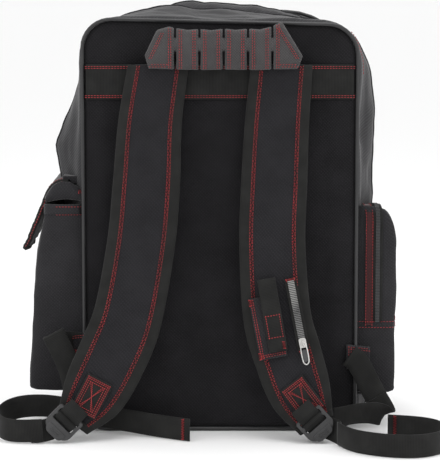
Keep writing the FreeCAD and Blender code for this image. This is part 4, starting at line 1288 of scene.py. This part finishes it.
# %% Lower wings
WING_ROOT, WING_REACH, WING_HALF = 140, 26, 14
for side, sign, height in (("left", -1, 98), ("right", 1, 84)):
    rows = []
    for share in np.linspace(0, 1, 16):
        x = sign * (WING_ROOT + WING_REACH * share)
        low, high = height - WING_HALF + 5 * share, height + WING_HALF - 3 * share
        front = [spot(x, 5.2 - 1.2 * abs(2 * v - 1) ** 4, low + (high - low) * v)
                 for v in np.linspace(0, 1, 10)]
        back = [spot(x, 2.6, low + (high - low) * v) for v in np.linspace(1, 0, 10)]
        rows.append(front + back)
    wing = grid_piece(f"{side}_wing_cloth", rows, "shell_twill", closed_across=True, cap=True)
    sewn = []
    for inset in (2.5, 5.0):
        low, high = height - WING_HALF + inset, height + WING_HALF - inset
        start = WING_ROOT + inset
        sewn.append([spot(sign * start, 9, z) for z in np.linspace(low, high, 14)])
        for first, slope in ((low, 4), (high, -2)):
            sewn.append([spot(sign * (start + 20 * t), 9, first + slope * t)
                         for t in np.linspace(0, 1, 14)])
    thread = stitch(f"{side}_wing_rows", [press(line, wing) for line in sewn], pitch=0.0028,
                    length=0.0022)
    dress(wing, "root", "black_twill", f"{side}_lower_wing")
    dress(thread, "root", "webbing")
print("rows on a wing:", len(sewn))

# %% [markdown]
# ## Haul handle
# The grip is a padded bar cut into slats: five slits from above and five from below leave one
# unbroken core. Each column of the grid is a closed loop round the bar, and the loops near a slit
# close in, so that every slat is a small pillow.

# %% Handle grip
HANDLE_MIDDLE, SLIT_PITCH, SLIT_HALF = 4, 26.2, 1.2
HANDLE_DEPTH, HANDLE_BACK = 9, 17
SLIT_PLACES = [HANDLE_MIDDLE + k * SLIT_PITCH for k in range(-2, 3)]
CORE_LOW, CORE_HIGH, CORE_FILL = 422.0, 436.5, 0.93
GRIP_TOP = [(-81, 418), (-68, 445), (-55, 448.5), (-48, 447), (-35, 445), (-22, 446),
            (-9, 444.6), (4, 446.5), (17, 445), (30, 446.4), (43, 445.4), (55, 448.5),
            (66.5, 454), (89, 417)]
GRIP_FOOT = [(-81, 417), (-77, 403.5), (-50, 402.5), (-20, 401.8), (4, 402.4), (40, 401.8),
             (60, 402.6), (84, 403), (89, 416)]


def grip_span(x):
    """The bar's foot and top at a place along it."""
    foot = np.interp(x, *zip(*GRIP_FOOT))
    top = np.interp(x, *zip(*GRIP_TOP))
    inside = min(abs(x - place) for place in SLIT_PLACES)
    if inside < SLIT_HALF:
        return CORE_LOW, CORE_HIGH, CORE_FILL
    ease = min(1.0, (inside - SLIT_HALF) / 2.2)
    ends = min(1.0, (x + 81.5) / 5, (89.5 - x) / 5)
    round_off = math.sqrt(max(0.0, 1 - (1 - ease) ** 2))
    dip = 0.8 * (1 - ease) ** 2
    return foot + dip, top - dip, 0.5 + 0.5 * round_off * math.sqrt(max(0.05, ends))


# extra columns stand close on both sides of each slit's edges
SLIT_EDGES = [way * step for way in (-1, 1)
              for step in (SLIT_HALF + 2, SLIT_HALF + 1, SLIT_HALF + 0.05, SLIT_HALF - 0.05)]
grip_columns = sorted({*np.linspace(-81, 89, 86),
                       *(place + edge for place in SLIT_PLACES for edge in SLIT_EDGES)})
grip_rows = []
middle_stand = HANDLE_BACK + HANDLE_DEPTH / 2
for x in grip_columns:
    foot, top, fill = grip_span(x)
    loop = []
    for face, shares in ((-1, np.linspace(0, 1, 18)), (1, np.linspace(1, 0, 18))):
        for v in shares:
            swell = math.sqrt(max(0.0, 1 - abs(2 * v - 1) ** 5))
            z = foot + (top - foot) * v
            core = min(1.0, max(0.0, min(z - CORE_LOW + 1.5, CORE_HIGH + 1.5 - z) / 2.5))
            full = fill + max(0.0, CORE_FILL - fill) * core
            loop.append(spot(x, middle_stand - face * HANDLE_DEPTH / 2 * full
                             * (0.3 + 0.7 * swell), z))
    grip_rows.append(loop)
grip = grid_piece("haul_handle_cloth", grip_rows, "handle_cloth", closed_across=True, cap=True)
dress(grip, "haul_handle", "charcoal_twill", "haul_handle_grip")
print("grip columns:", len(grip_columns))

# %% [markdown]
# Each slat has two pairs of rows, and each end of the bar has a sewn triangle. Two short pieces of
# webbing hold the bar to the panel's top edge.

# %% Handle stitching
grip_lines = []
for place in SLIT_PLACES:
    for shift in (-7.0, -4.6, 4.6, 7.0):
        x = place + shift
        foot, top, _ = grip_span(x)
        grip_lines.append([spot(x, 30, z) for z in np.linspace(foot + 2, top - 2, 26)])
for tip, sign, run, rise in ((-81, 1, 12.5, 26), (89, -1, 19.5, 31)):
    for inset in (3.4, 5.8):
        grip_lines.append([spot(tip + sign * (inset + 1.5 + run * t), 30, 415 + rise * t)
                           for t in np.linspace(0, 1, 22)])
        grip_lines.append([spot(tip + sign * (inset + 2 + 16 * t), 30, 402 + inset)
                           for t in np.linspace(0, 1, 12)])
grip_thread = stitch("haul_handle_rows", [press(line, grip) for line in grip_lines],
                     pitch=0.0027, length=0.0019, thickness=0.00105)
dress(grip_thread, "haul_handle", "webbing")
for side, x in (("left", -71), ("right", 79)):
    anchor = ribbon(f"{side}_anchor_webbing",
                    [spot(x, 16, 417), spot(x, 14.5, 412), spot(x, 9, 410), spot(x, 3.5, 409.5),
                     spot(x, 1.4, 404)], (1, 0, 0), 13 * MM, 2.2 * MM, "webbing", 24)
    dress(anchor, "root", "webbing", f"{side}_handle_anchor")
print("rows on the grip:", len(grip_lines))

# %% [markdown]
# ## Side pockets
# Both pockets are sleeves of twill sewn to the bag's side. A horizontal outline runs from the panel
# seam round the pocket to the body again. It is repeated down the pocket, wider at the foot of the
# left one and rounded in at the top of the right one, and then drawn in to close the base.

# %% Pocket sleeves
def pocket_outline(sign, z, reach, root, seed):
    """One horizontal outline, from the rear seam round to the front one, in millimetres."""
    slack = 3.0 * math.sin(math.pi * min(1, max(0, (z - 45) / 205)))
    points = [(root, -84), (reach - 20, -85.5), (reach - 4, -84), (reach, -77),
              (reach + slack * 0.6, -40), (reach + slack, -15), (reach + slack * 0.6, 14),
              (reach, 38), (reach - 5, 49), (reach - 20, 51.5), (root + 8, 51)]
    line = smooth_through(points, 90)
    made = []
    for k, (x, y) in enumerate(line):
        ease = math.sin(math.pi * k / 89) ** 0.5
        push = crumple((x * MM, y * MM, z * MM * 0.7), seed, 0.05, 2.6) * ease
        fall = 0 if sign < 0 else 0.12 * (y + 84) * max(0.0, (z - 150) / 100) ** 2
        made.append((sign * (x + push) * MM, y * MM - 0.0006 * (y < -80), (z - fall) * MM))
    return made


def sleeve(name, sign, reach_of, root, low, high, seed, closed_top):
    """A pocket's cloth: outlines from its mouth down, drawn in at the base."""
    rows = []
    if closed_top:
        for inset, rise in ((40, 1.5), (26, 1.6), (12, 1.2)):
            rows.append(pocket_outline(sign, high + rise, reach_of(high) - inset, root, seed))
    for z in np.linspace(high, low + 3, 70):
        rows.append(pocket_outline(sign, z, reach_of(z), root, seed))
    for inset, z in ((1.5, low + 1), (6, low - 0.5), (18, low - 1), (34, low - 1)):
        rows.append(pocket_outline(sign, z, reach_of(low) - inset, root, seed))
    piece = grid_piece(name, rows, "shell_twill")
    return thicken(piece, 0.0016, lining="lining")


LEFT_REACH = [(45, 213), (100, 211.5), (150, 208), (200, 202.5), (230, 197), (250, 191.5)]


def left_reach(z):
    """How far the left pocket stands out at a height."""
    return float(np.interp(z, *zip(*LEFT_REACH)))


def right_reach(z):
    """How far the right pocket stands out, with its round top."""
    rise = max(0.0, (min(z, 250) - 206) / 44)
    return 195.5 - 21 * (1 - math.sqrt(max(0.0, 1 - rise * rise)))


left_pocket = sleeve("left_pocket_sleeve", -1, left_reach, 149, 45, 250, 6.3, False)
right_pocket = sleeve("right_pocket_sleeve", 1, right_reach, 150, 42, 250, 9.9, True)
dress(left_pocket, "root", "black_twill", "left_pocket_gusset", "left_pocket_face")
dress(right_pocket, "root", "black_twill", "right_pocket_gusset", "right_pocket_face")

hem_line = [Vector(p) for p in pocket_outline(-1, 247, left_reach(247), 150, 6.3)[2:-2]]
hem = ribbon("left_pocket_hem", hem_line[::4] + hem_line[-1:], (0, 0, 1), 11 * MM, 3.4 * MM,
             "shell_twill", 90)
dress(hem, "root", "black_twill")
hem_rows = [press([(x * MM, -0.1, z * MM) for x in np.linspace(-151, -180, 40)],
                  hem, left_pocket) for z in (241, 250)]
hem_rows.append(press([(-0.23, y * MM, 243 * MM) for y in np.linspace(-72, 38, 60)], hem,
                      left_pocket, way=(1, 0, 0)))
hem_thread = stitch("left_pocket_hem_rows", hem_rows)
dress(hem_thread, "root", "webbing")
print("pocket faces:", len(left_pocket.data.polygons) + len(right_pocket.data.polygons))

# %% [markdown]
# The right pocket opens with a coil zipper that runs up its rear, over its top and down its front.
# A welt of red-shot cloth lies beside it. Both follow one path, and the teeth are laid in three runs,
# each facing the way that its stretch of the path does.

# %% Right pocket zipper and its red welt
def over_pocket(x, low, rear, fore, top, corner=16):
    """A path up the rear of the right pocket, over its top and down its front."""
    points = [(x, rear, z) for z in np.linspace(low, top - corner, 8)]
    points += [(x - 0.8, rear + 2, top - 7), (x - 2, rear + 8, top - 1.5),
               (x - 2.6, rear + 22, top)]
    points += [(x - 2.6, y, top) for y in np.linspace(rear + 40, fore - 40, 4)]
    points += [(x - 2.6, fore - 22, top), (x - 2, fore - 8, top - 1.5),
               (x - 0.8, fore - 2, top - 7)]
    points += [(x, fore, z) for z in np.linspace(top - corner, low, 8)]
    points = np.array(points)
    share = np.maximum(0, (points[:, 2] - 150) / 100) ** 2
    points[:, 2] -= 0.12 * (points[:, 1] - rear) * share
    return points * MM


zip_tape = ribbon("right_pocket_tape", over_pocket(174.5, 122, -86.8, 53, 253.4), (1, 0, 0),
                  11 * MM, 1.2 * MM, "webbing", 160)
dress(zip_tape, "root", "zipper_tape", "right_pocket_zipper")
coil_path = smooth_through(over_pocket(174.5, 122, -87.8, 54, 254.4), 240)
COIL_RUNS = {"rear": (0, 80, (0, -1, 0)), "top": (79, 161, (0, 0, 1)),
             "front": (160, 240, (0, 1, 0))}
coil_faces = 0
for part, (first, last, facing) in COIL_RUNS.items():
    coil = teeth(f"right_pocket_coil_{part}", [coil_path[first:last]], facing, "coil")
    dress(coil, "root", "zipper_tape")
    coil_faces += len(coil.data.polygons)
welt = ribbon("right_pocket_welt", over_pocket(165.2, 118, -86.6, 52.6, 252.8), (1, 0, 0),
              8 * MM, 1.4 * MM, "red_welt", 160)
dress(welt, "root", "black_twill")
welt_rows = [smooth_through(over_pocket(x, 118, -87.7, 53.7, 253.9), 300)
             for x in (161.6, 168.8)]
low_rows = [press([(x * MM, -0.11, z * MM) for x in np.linspace(152, 192, 50)],
                  right_pocket, zip_tape, welt) for z in (121.6, 115)]
low_rows += [press([(0.22, y * MM, z * MM) for y in np.linspace(-76, 42, 80)], right_pocket,
                   way=(-1, 0, 0)) for z in (121.6, 115)]
welt_thread = stitch("right_pocket_rows", welt_rows + low_rows)
dress(welt_thread, "root", "webbing")
print("teeth on the pocket:", coil_faces // 6)

# %% [markdown]
# The flap is a doubled piece of twill, bound round its free edges. Its root is sewn into the side
# seam. A small cheek closes its rear end.

# %% Pocket flap
FLAP_RUN = [(-166, 276.5), (-176, 276.5), (-184, 272.5), (-190, 264.5), (-195.5, 250),
            (-204.5, 228), (-215, 203)]
FLAP_REAR, FLAP_FORE = -76, 46


def flap_point(share, y, lift=0.0):
    """A point on the flap: its share of the run, its place in depth, and a lift off it."""
    line = flap_line
    k = min(int(share * (len(line) - 1)), len(line) - 2)
    part = share * (len(line) - 1) - k
    here = line[k] * (1 - part) + line[k + 1] * part
    ahead = line[k + 1] - line[k]
    normal = np.array([ahead[1], -ahead[0]]) / np.linalg.norm(ahead)
    normal = -normal if normal[1] < 0 and share < 0.3 else normal
    wave_out = (1.6 * math.sin(y * 0.055 + 0.6) + 1.2 * math.sin(y * 0.13)) * share
    bend = crumple((share, y * MM, 0.2), 4.4, 0.05, 2.2) * share
    out = np.array([-1.0, 0.25]) * (wave_out + bend) * 0.6
    spot_2d = here + out + normal * lift
    return (spot_2d[0] * MM, y * MM, spot_2d[1] * MM)


flap_line = smooth_through(FLAP_RUN, 40)
rows = [[flap_point(s, y, 2.6) for s in np.linspace(0, 1, 40)]
        + [flap_point(s, y, -2.4) for s in np.linspace(1, 0, 40)]
        for y in np.linspace(FLAP_REAR, FLAP_FORE, 70)]
flap = grid_piece("pocket_flap_cloth", rows, "shell_twill", closed_across=True, cap=True)
edge = [flap_point(s, FLAP_REAR) for s in np.linspace(0.02, 1, 40)] \
    + [flap_point(1.0, y) for y in np.linspace(FLAP_REAR, FLAP_FORE, 60)] \
    + [flap_point(s, FLAP_FORE) for s in np.linspace(1, 0.02, 40)]
flap_edge = cord_mesh("pocket_flap_binding", [edge], 0.0033, "binding")
CHEEK_TOP = [(151, 268), (166, 277), (176, 277.5), (184, 273.5), (190, 265), (194, 258)]
cheek_rows = []
for t in np.linspace(0, 1, 26):
    x = -151 - 42 * t
    top = float(np.interp(-x, *zip(*CHEEK_TOP)))
    foot = 256 + 3 * math.sin(3 * t) - 2 * t
    cheek_rows.append([(x * MM, (-80 - 3.2 * math.sin(math.pi * v) - 2 * (1 - t)) * MM,
                        (foot + (top - foot) * v) * MM) for v in np.linspace(0, 1, 10)])
cheek = grid_piece("pocket_flap_cheek", cheek_rows, "shell_twill")
thicken(cheek, 0.0016, offset=0)
cheek_tack = cord_mesh("pocket_flap_bartack",
                       [zigzag((-0.156, -0.0855, 0.2665), (-0.147, -0.0845, 0.2655),
                               (0, 0, 1), 0.004, 0.0007)], 0.0006, "bright_thread")
dress(cheek_tack, "root", "webbing")
flap_rows = [[flap_point(s, FLAP_REAR + inset, 2.9) for s in np.linspace(0.1, 0.96, 40)]
             for inset in (5, 8)]
flap_rows += [[flap_point(0.95, y, 2.9) for y in np.linspace(FLAP_REAR + 5, FLAP_FORE - 5, 70)]]
flap_rows += [[np.array(flap_point(s, FLAP_REAR)) + np.array([0.4, -3.5, 0.6]) * MM
               for s in np.linspace(0.1, 0.98, 40)]]
flap_thread = stitch("pocket_flap_rows", flap_rows)
for piece, slot in ((flap, "black_twill"), (flap_edge, "webbing"), (cheek, "black_twill"),
                    (flap_thread, "webbing")):
    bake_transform(piece)
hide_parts("pocket_flap")
print("rows on the flap:", len(flap_rows))

# %% [markdown]
# ## Strap accessory
# A flat pocket on the right strap: a backing panel, a webbing sleeve on it and a short metal zipper
# beside them, whose slider hangs a bent-wire ring.

# %% Accessory on the right strap
panel_at = tab_place("right", 124, -12, 3.2, -11)
sleeve_at = tab_place("right", 138, -5, 7.2, -10)
zip_at = tab_place("right", 137, 22, 5.0, -11)
backing = flat_patch("accessory_panel", *panel_at, 68 * MM, 30 * MM, 1.8 * MM, "shell_twill",
                     bow=0.0008)
tunnel = flat_patch("accessory_sleeve", *sleeve_at, 80 * MM, 20 * MM, 3.0 * MM, "webbing",
                    bow=0.0022)
tape = flat_patch("accessory_tape", *zip_at, 82 * MM, 13 * MM, 1.2 * MM, "webbing")
_, down, across = zip_at
out = across.cross(down)
out = -out if out.y > 0 else out
run = [zip_at[0] + down * t * MM + out * 1.1 * MM for t in (-38, 0, 31)]
silver = teeth("accessory_teeth", [run], tuple(out), "steel_teeth", pitch=0.0019,
               across=0.0072, height=0.0018)


def beside(place, along, aside, stand=0.0):
    """A spot on a patch: so far along it, across it and off it, in millimetres."""
    return place[0] + place[1] * along * MM + place[2] * aside * MM + out * stand * MM


sewn = [press(line, tunnel, backing, lift=0.0003) for line in
        box_rows(beside(sleeve_at, 12, 0), *sleeve_at[1:], 24 * MM, 15 * MM)]
sewn += [press([beside(panel_at, t, aside) for t in np.linspace(-32, 32, 60)], backing,
               lift=0.0003) for aside in (-13.2, -10.8)]
sewn += [press([beside(panel_at, along, t) for t in np.linspace(-13, 13, 24)], backing,
               tunnel, lift=0.0003) for along in (31, 29)]
red = stitch("accessory_rows", sewn, pitch=0.0026, length=0.0021, thickness=0.0010)
tacks = [zigzag(beside(panel_at, a, -13.6, 1.3), beside(panel_at, b, -13.6, 1.3), panel_at[2],
                0.004, 0.0007) for a, b in ((-33, -26), (26, 33))]
tacks += [zigzag(beside(zip_at, a, -5, 1.4), beside(zip_at, a, 5, 1.4), down, 0.003, 0.0007)
          for a in (-39.5, 39.5)]
tacks += [zigzag(beside(sleeve_at, 30, 7, 2.6), beside(sleeve_at, 38, 7, 2.6), sleeve_at[2],
                 0.003, 0.0007)]
bars = cord_mesh("accessory_bartacks", tacks, 0.0005, "bright_thread")
dress(backing, "right_strap", "webbing", "strap_pocket_panel")
dress(tunnel, "right_strap", "webbing", "strap_pocket_sleeve")
dress(tape, "right_strap", "zipper_tape", "strap_zip_tape")
for piece, name in ((silver, "zipper_metal"), (red, "webbing"), (bars, "webbing")):
    dress(piece, "right_strap", name)
print("bartacks:", len(tacks))

# %% [markdown]
# A slider is a flat cast body with an arched bridge that holds its puller. Four pullers are blades
# with a slot and a hole. The strap's one is a ring of bent wire round a dark insert.

# %% Sliders and pullers
STRAP_AXIS = Vector((-0.9816, 0, -0.1908))
STRAP_TRAVEL = Vector((-0.1895, 0.1161, 0.975))
ACROSS, UPRIGHT = Vector((1, 0, 0)), Vector((0, 0, 1))
# each puller's hinge in millimetres, then its right and up directions
ZIPS = {
    "main_upper": ((-145, 98.2, 316), ACROSS, UPRIGHT),
    "main_lower": ((-145, 98.2, 284), ACROSS, UPRIGHT),
    "front_pocket": ((92, 123, 222), ACROSS, UPRIGHT),
    "side_pocket": ((174.5, 56, 160), ACROSS, UPRIGHT),
    "strap_pocket": ((89.5, -146.73, 108.37), STRAP_AXIS, STRAP_TRAVEL),
}
# up from the hinge and out of the zipper's face
BRIDGE = ((3.0, -2.2), (3.0, 1.0), (2.2, 2.0), (0, 2.3), (-2.2, 2.0), (-3.0, 1.0), (-3.0, -2.2))
# right of the hinge and up from it
RING_OVAL = [(2.5, -1.5), (3.3, -6), (3.5, -14), (2.8, -21), (0, -23.6), (-2.8, -21),
             (-3.5, -14), (-3.3, -6), (-2.5, -1.5), (-1.5, 0), (1.5, 0)]
body_loop = rounded_loop(4 * MM, -5.5 * MM, 5.5 * MM, 1.2 * MM, 2.8 * MM)
blade_loops = [rounded_loop(3.5 * MM, -24 * MM, 0.9 * MM, 3.2 * MM, 1.2 * MM),
               rounded_loop(2.1 * MM, -5.4 * MM, -0.9 * MM, 0.9 * MM, 0.9 * MM, 4)[::-1],
               rounded_loop(1.2 * MM, -21.6 * MM, -19.2 * MM, 1.15 * MM, 1.15 * MM, 5)[::-1]]
insert_loop = rounded_loop(2.7 * MM, -20.6 * MM, -7 * MM, 2.6 * MM, 2.4 * MM)
for name, (hinge, right, up) in ZIPS.items():
    hinge = Vector(hinge) * MM
    outside = up.cross(right).normalized()
    slider = moulding(f"{name}_slider_body", [body_loop], 2.7 * MM, 0.6 * MM,
                      plane_place(hinge + outside * -2.95 * MM, right, up), "nickel")
    arch = [hinge + up * z * MM + outside * y * MM for z, y in BRIDGE]
    bridge = cord_mesh(f"{name}_slider_bridge", [resample(np.array(arch), 30)], 0.7 * MM,
                       "nickel")
    dress(slider, f"{name}_slider", "zipper_metal", f"{name}_slider")
    dress(bridge, f"{name}_slider", "zipper_metal")
    if name == "strap_pocket":
        ring = smooth_through([hinge + right * x * MM + up * z * MM for x, z in RING_OVAL],
                              90, closed=True)
        puller = cord_mesh(f"{name}_puller_ring", [[*ring, ring[0]]], 0.75 * MM, "nickel")
        insert = moulding(f"{name}_puller_insert", [insert_loop], 1.0 * MM, 0.3 * MM,
                          plane_place(hinge, right, up), "coil")
        dress(insert, f"{name}_puller", "zipper_metal")
    else:
        puller = moulding(f"{name}_puller_blade", blade_loops, 1.3 * MM, 0.35 * MM,
                          plane_place(hinge, right, up), "nickel")
    dress(puller, f"{name}_puller", "zipper_metal", f"{name}_puller")
print("zippers:", len(ZIPS))

# %% [markdown]
# ## Front cover
# The far side opens like a door. Its panel is a soft cushion: rings close in from the opening's
# outline to one core point, and the face swells just inside the edge.

# %% Front cover
FRONT_Y = FRONT_DEPTH * MM


def front_ring_line(inset, low, count):
    """The opening's outline at an inset, with a nearly square foot."""
    return panel_ring(FRONT_HALF - inset, low, FRONT_TOP - inset, FRONT_CORNER - inset, 3, count)


def cover_spot(x, z, share):
    """A point of the cover's face, swollen inside its edge and slack like any sewn cloth."""
    x, z = x * MM, z * MM
    swell = 0.0028 * min(1.0, max(0.0, share - 0.05) * 6)
    slack = crumple((x, 1, z), 8.1, 0.08, 0.0016) * min(1, share * 8)
    return (x, FRONT_Y + 0.003 + swell + slack, z)


cover_rings = ring_rows(front_ring_line(15, 36, RING), (0, 240), np.linspace(0, 1, 36), cover_spot)
cover = grid_piece("front_cover_cloth", cover_rings, "shell_twill", closed_across=True)
thicken(cover, 0.003, offset=1 if cover.data.polygons[0].normal.y < 0 else -1)
dress(cover, "front_cover", "black_twill", "front_cover_panel")
print("cover faces:", len(cover.data.polygons))

# %% [markdown]
# The main zipper runs round the cover, from one foot over the top to the other. Its tape lies in an
# upright plane, so it is swept square to its own line instead of along a given direction.

# %% Main zipper
TAPE_SECTION = [(-1, 0), (-0.94, 1), (0, 1), (0.94, 1), (1, 0), (0.94, -1), (0, -1), (-0.94, -1)]


def open_ring(inset, low, count):
    """The part of the opening's outline above a height, from one foot round to the other."""
    ring = front_ring_line(inset, 30, 900)
    start = int(np.argmin([abs(x) + abs(z - 30) for x, z in ring]))
    ring = np.roll(ring, -start, axis=0)
    return resample(ring[ring[:, 1] > low], count)


def plane_band(name, line, y, width, thick):
    """A flat tape in an upright plane, square to its own line."""
    rows = []
    for k, (x, z) in enumerate(line):
        ahead = line[min(k + 1, len(line) - 1)] - line[max(k - 1, 0)]
        side = np.array([ahead[1], -ahead[0]]) / np.linalg.norm(ahead)
        rows.append([((x + side[0] * width / 2 * c) * MM, (y + thick / 2 * n) * MM,
                      (z + side[1] * width / 2 * c) * MM) for c, n in TAPE_SECTION])
    return grid_piece(name, rows, "webbing", closed_across=True, cap=True)


coil_line = open_ring(14, 68, 500)
coil_teeth = teeth("main_zip_teeth", [[(x * MM, FRONT_Y + 0.0046, z * MM) for x, z in coil_line]],
                   (0, 1, 0), "coil", pitch=0.0022, across=0.0058, height=0.0019)
coil_tape = plane_band("main_zip_tape", coil_line, 91.8, 13, 1.4)
dress(coil_tape, "front_cover", "zipper_tape", "main_zip_coil")
dress(coil_teeth, "front_cover", "zipper_tape")
front_piping = cord_mesh("front_piping", [[
    (x * MM, FRONT_Y - 0.001, z * MM)
    for x, z in (*panel_ring(FRONT_HALF + 1.5, 3, FRONT_TOP + 1.5, FRONT_CORNER + 1, 23, 300),
                 (0, 3))]], 0.0023, "piping")
dress(front_piping, "root", "piping")
cover_rows = [[(x * MM, FRONT_Y + 0.008, z * MM) for x, z in open_ring(inset, 60, 400)]
              for inset in (24, 27)]
cover_thread = stitch("front_cover_rows", [press(line, cover, way=(0, -1, 0))
                                           for line in cover_rows])
dress(cover_thread, "front_cover", "webbing")
print("main zipper:", len(coil_teeth.data.polygons) // 6, "teeth")

# %% [markdown]
# The pocket on the cover is a shallow box with soft edges. Its sides are outlines stepped outwards,
# and its face closes in to one core point like the cover's. A zipper lies along its right side.

# %% Front pocket
POCKET_HALF, POCKET_LOW, POCKET_HIGH, POCKET_FACE = 115, 52, 250, 117.4
# depth of each side outline and how far it draws in
POCKET_SIDES = ((91, -2), (91.6, 0), (97, 0), (104, -1), (111, -0.6), (115, 0.8), (117.2, 4))


def pocket_ring(inset, corner=20, low_corner=12):
    """The pocket's outline at an inset."""
    return panel_ring(POCKET_HALF - inset, POCKET_LOW + inset, POCKET_HIGH - inset, corner,
                      low_corner, 200)


def pocket_spot(x, z, share):
    """A point of the pocket's face, swollen inside its edge."""
    slack = crumple((x * MM, 1, z * MM), 5.9, 0.06, 1.1) * min(1, share * 6)
    return (x * MM, (POCKET_FACE + 2.2 * min(1, share * 3) + slack) * MM, z * MM)


pocket_rows = [[((x + crumple((x * MM, y * MM, z * MM), 2.9, 0.05, 0.8)) * MM, y * MM, z * MM)
                for x, z in pocket_ring(inset)] for y, inset in POCKET_SIDES]
pocket_rows += ring_rows(pocket_ring(4, 18, 10), (0, 150), np.linspace(0.05, 1, 26), pocket_spot)
front_pocket = grid_piece("front_pocket_cloth", pocket_rows, "shell_twill",
                          closed_across=True)
thicken(front_pocket, 0.0014, offset=-1)
dress(front_pocket, "front_cover", "black_twill", "front_pocket_face", "front_pocket_gusset")
pocket_piping = cord_mesh("front_pocket_piping", [[
    (x * MM, 0.1162, z * MM) for x, z in (*pocket_ring(0.4), (0, 52.4))]], 0.0018, "piping")
dress(pocket_piping, "front_cover", "piping")
front_zip = flat_patch("front_pocket_tape", (0.092, 0.1206, 0.151), (0, 0, -1), (1, 0, 0),
                       168 * MM, 13 * MM, 1.4 * MM, "webbing")
front_teeth = teeth("front_pocket_teeth", [[(0.092, 0.1217, 0.233), (0.092, 0.1217, 0.07)]],
                    (0, 1, 0), "coil", across=0.005)
front_rows = stitch("front_pocket_rows",
                    [press([(x * MM, 0.13, z * MM) for z in np.linspace(68, 234, 90)],
                           front_pocket, way=(0, -1, 0)) for x in (82, 102)])
dress(front_zip, "front_cover", "zipper_tape", "front_pocket_zipper")
dress(front_teeth, "front_cover", "zipper_tape")
dress(front_rows, "front_cover", "webbing")
print("front pocket:", len(pocket_rows), "outlines")

# %% [markdown]
# ## Inside
# With the cover open, the padded sleeve shows against the frame sheet. It is a cushion with two faces,
# drawn in to a core point on each side.

# %% Laptop sleeve
low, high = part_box("laptop_sleeve")
sleeve_ring = panel_ring((high.x - low.x) / 2 / MM, low.z / MM, high.z / MM, 12, 16, 160)
rows = []
for face, shares in ((1, np.linspace(1, 0, 16)), (-1, np.linspace(0, 1, 16))):
    rows += ring_rows(sleeve_ring, (0, 165), shares, lambda x, z, share: (
        x * MM, (low.y + high.y) / 2 + face * (0.0006 + 0.0018 * math.sqrt(min(1.0, share * 5))),
        z * MM))
laptop = grid_piece("laptop_sleeve_cloth", rows, "lining", closed_across=True)
dress(laptop, "root", "foam", "laptop_sleeve")
print("sleeve faces:", len(laptop.data.polygons))

# %% [markdown]
# Some parts are plain in the real bag too, such as the boards and bindings inside it. Their packed
# meshes stay, and each takes the finish of its own material slot.

# %% Plain parts
SLOT_FINISH = {"black_twill": "shell_twill", "charcoal_twill": "panel_twill",
               "foam": "foam_cover", "stiffener_board": "board", "lining": "lining",
               "webbing": "webbing", "zipper_tape": "lining", "piping": "piping",
               "buckle_plastic": "acetal", "zipper_metal": "nickel"}
slots = {row["node"]: row["material_slot"] for row in frame["record"]["subparts"]}
plain = []
for name, node in frame["nodes"].items():
    if not node.hide_render:
        node.data.materials.clear()
        node.data.materials.append(FINISH[SLOT_FINISH[slots[name]]])
        plain.append(name)
print("CAD nodes shown:", sorted(plain))
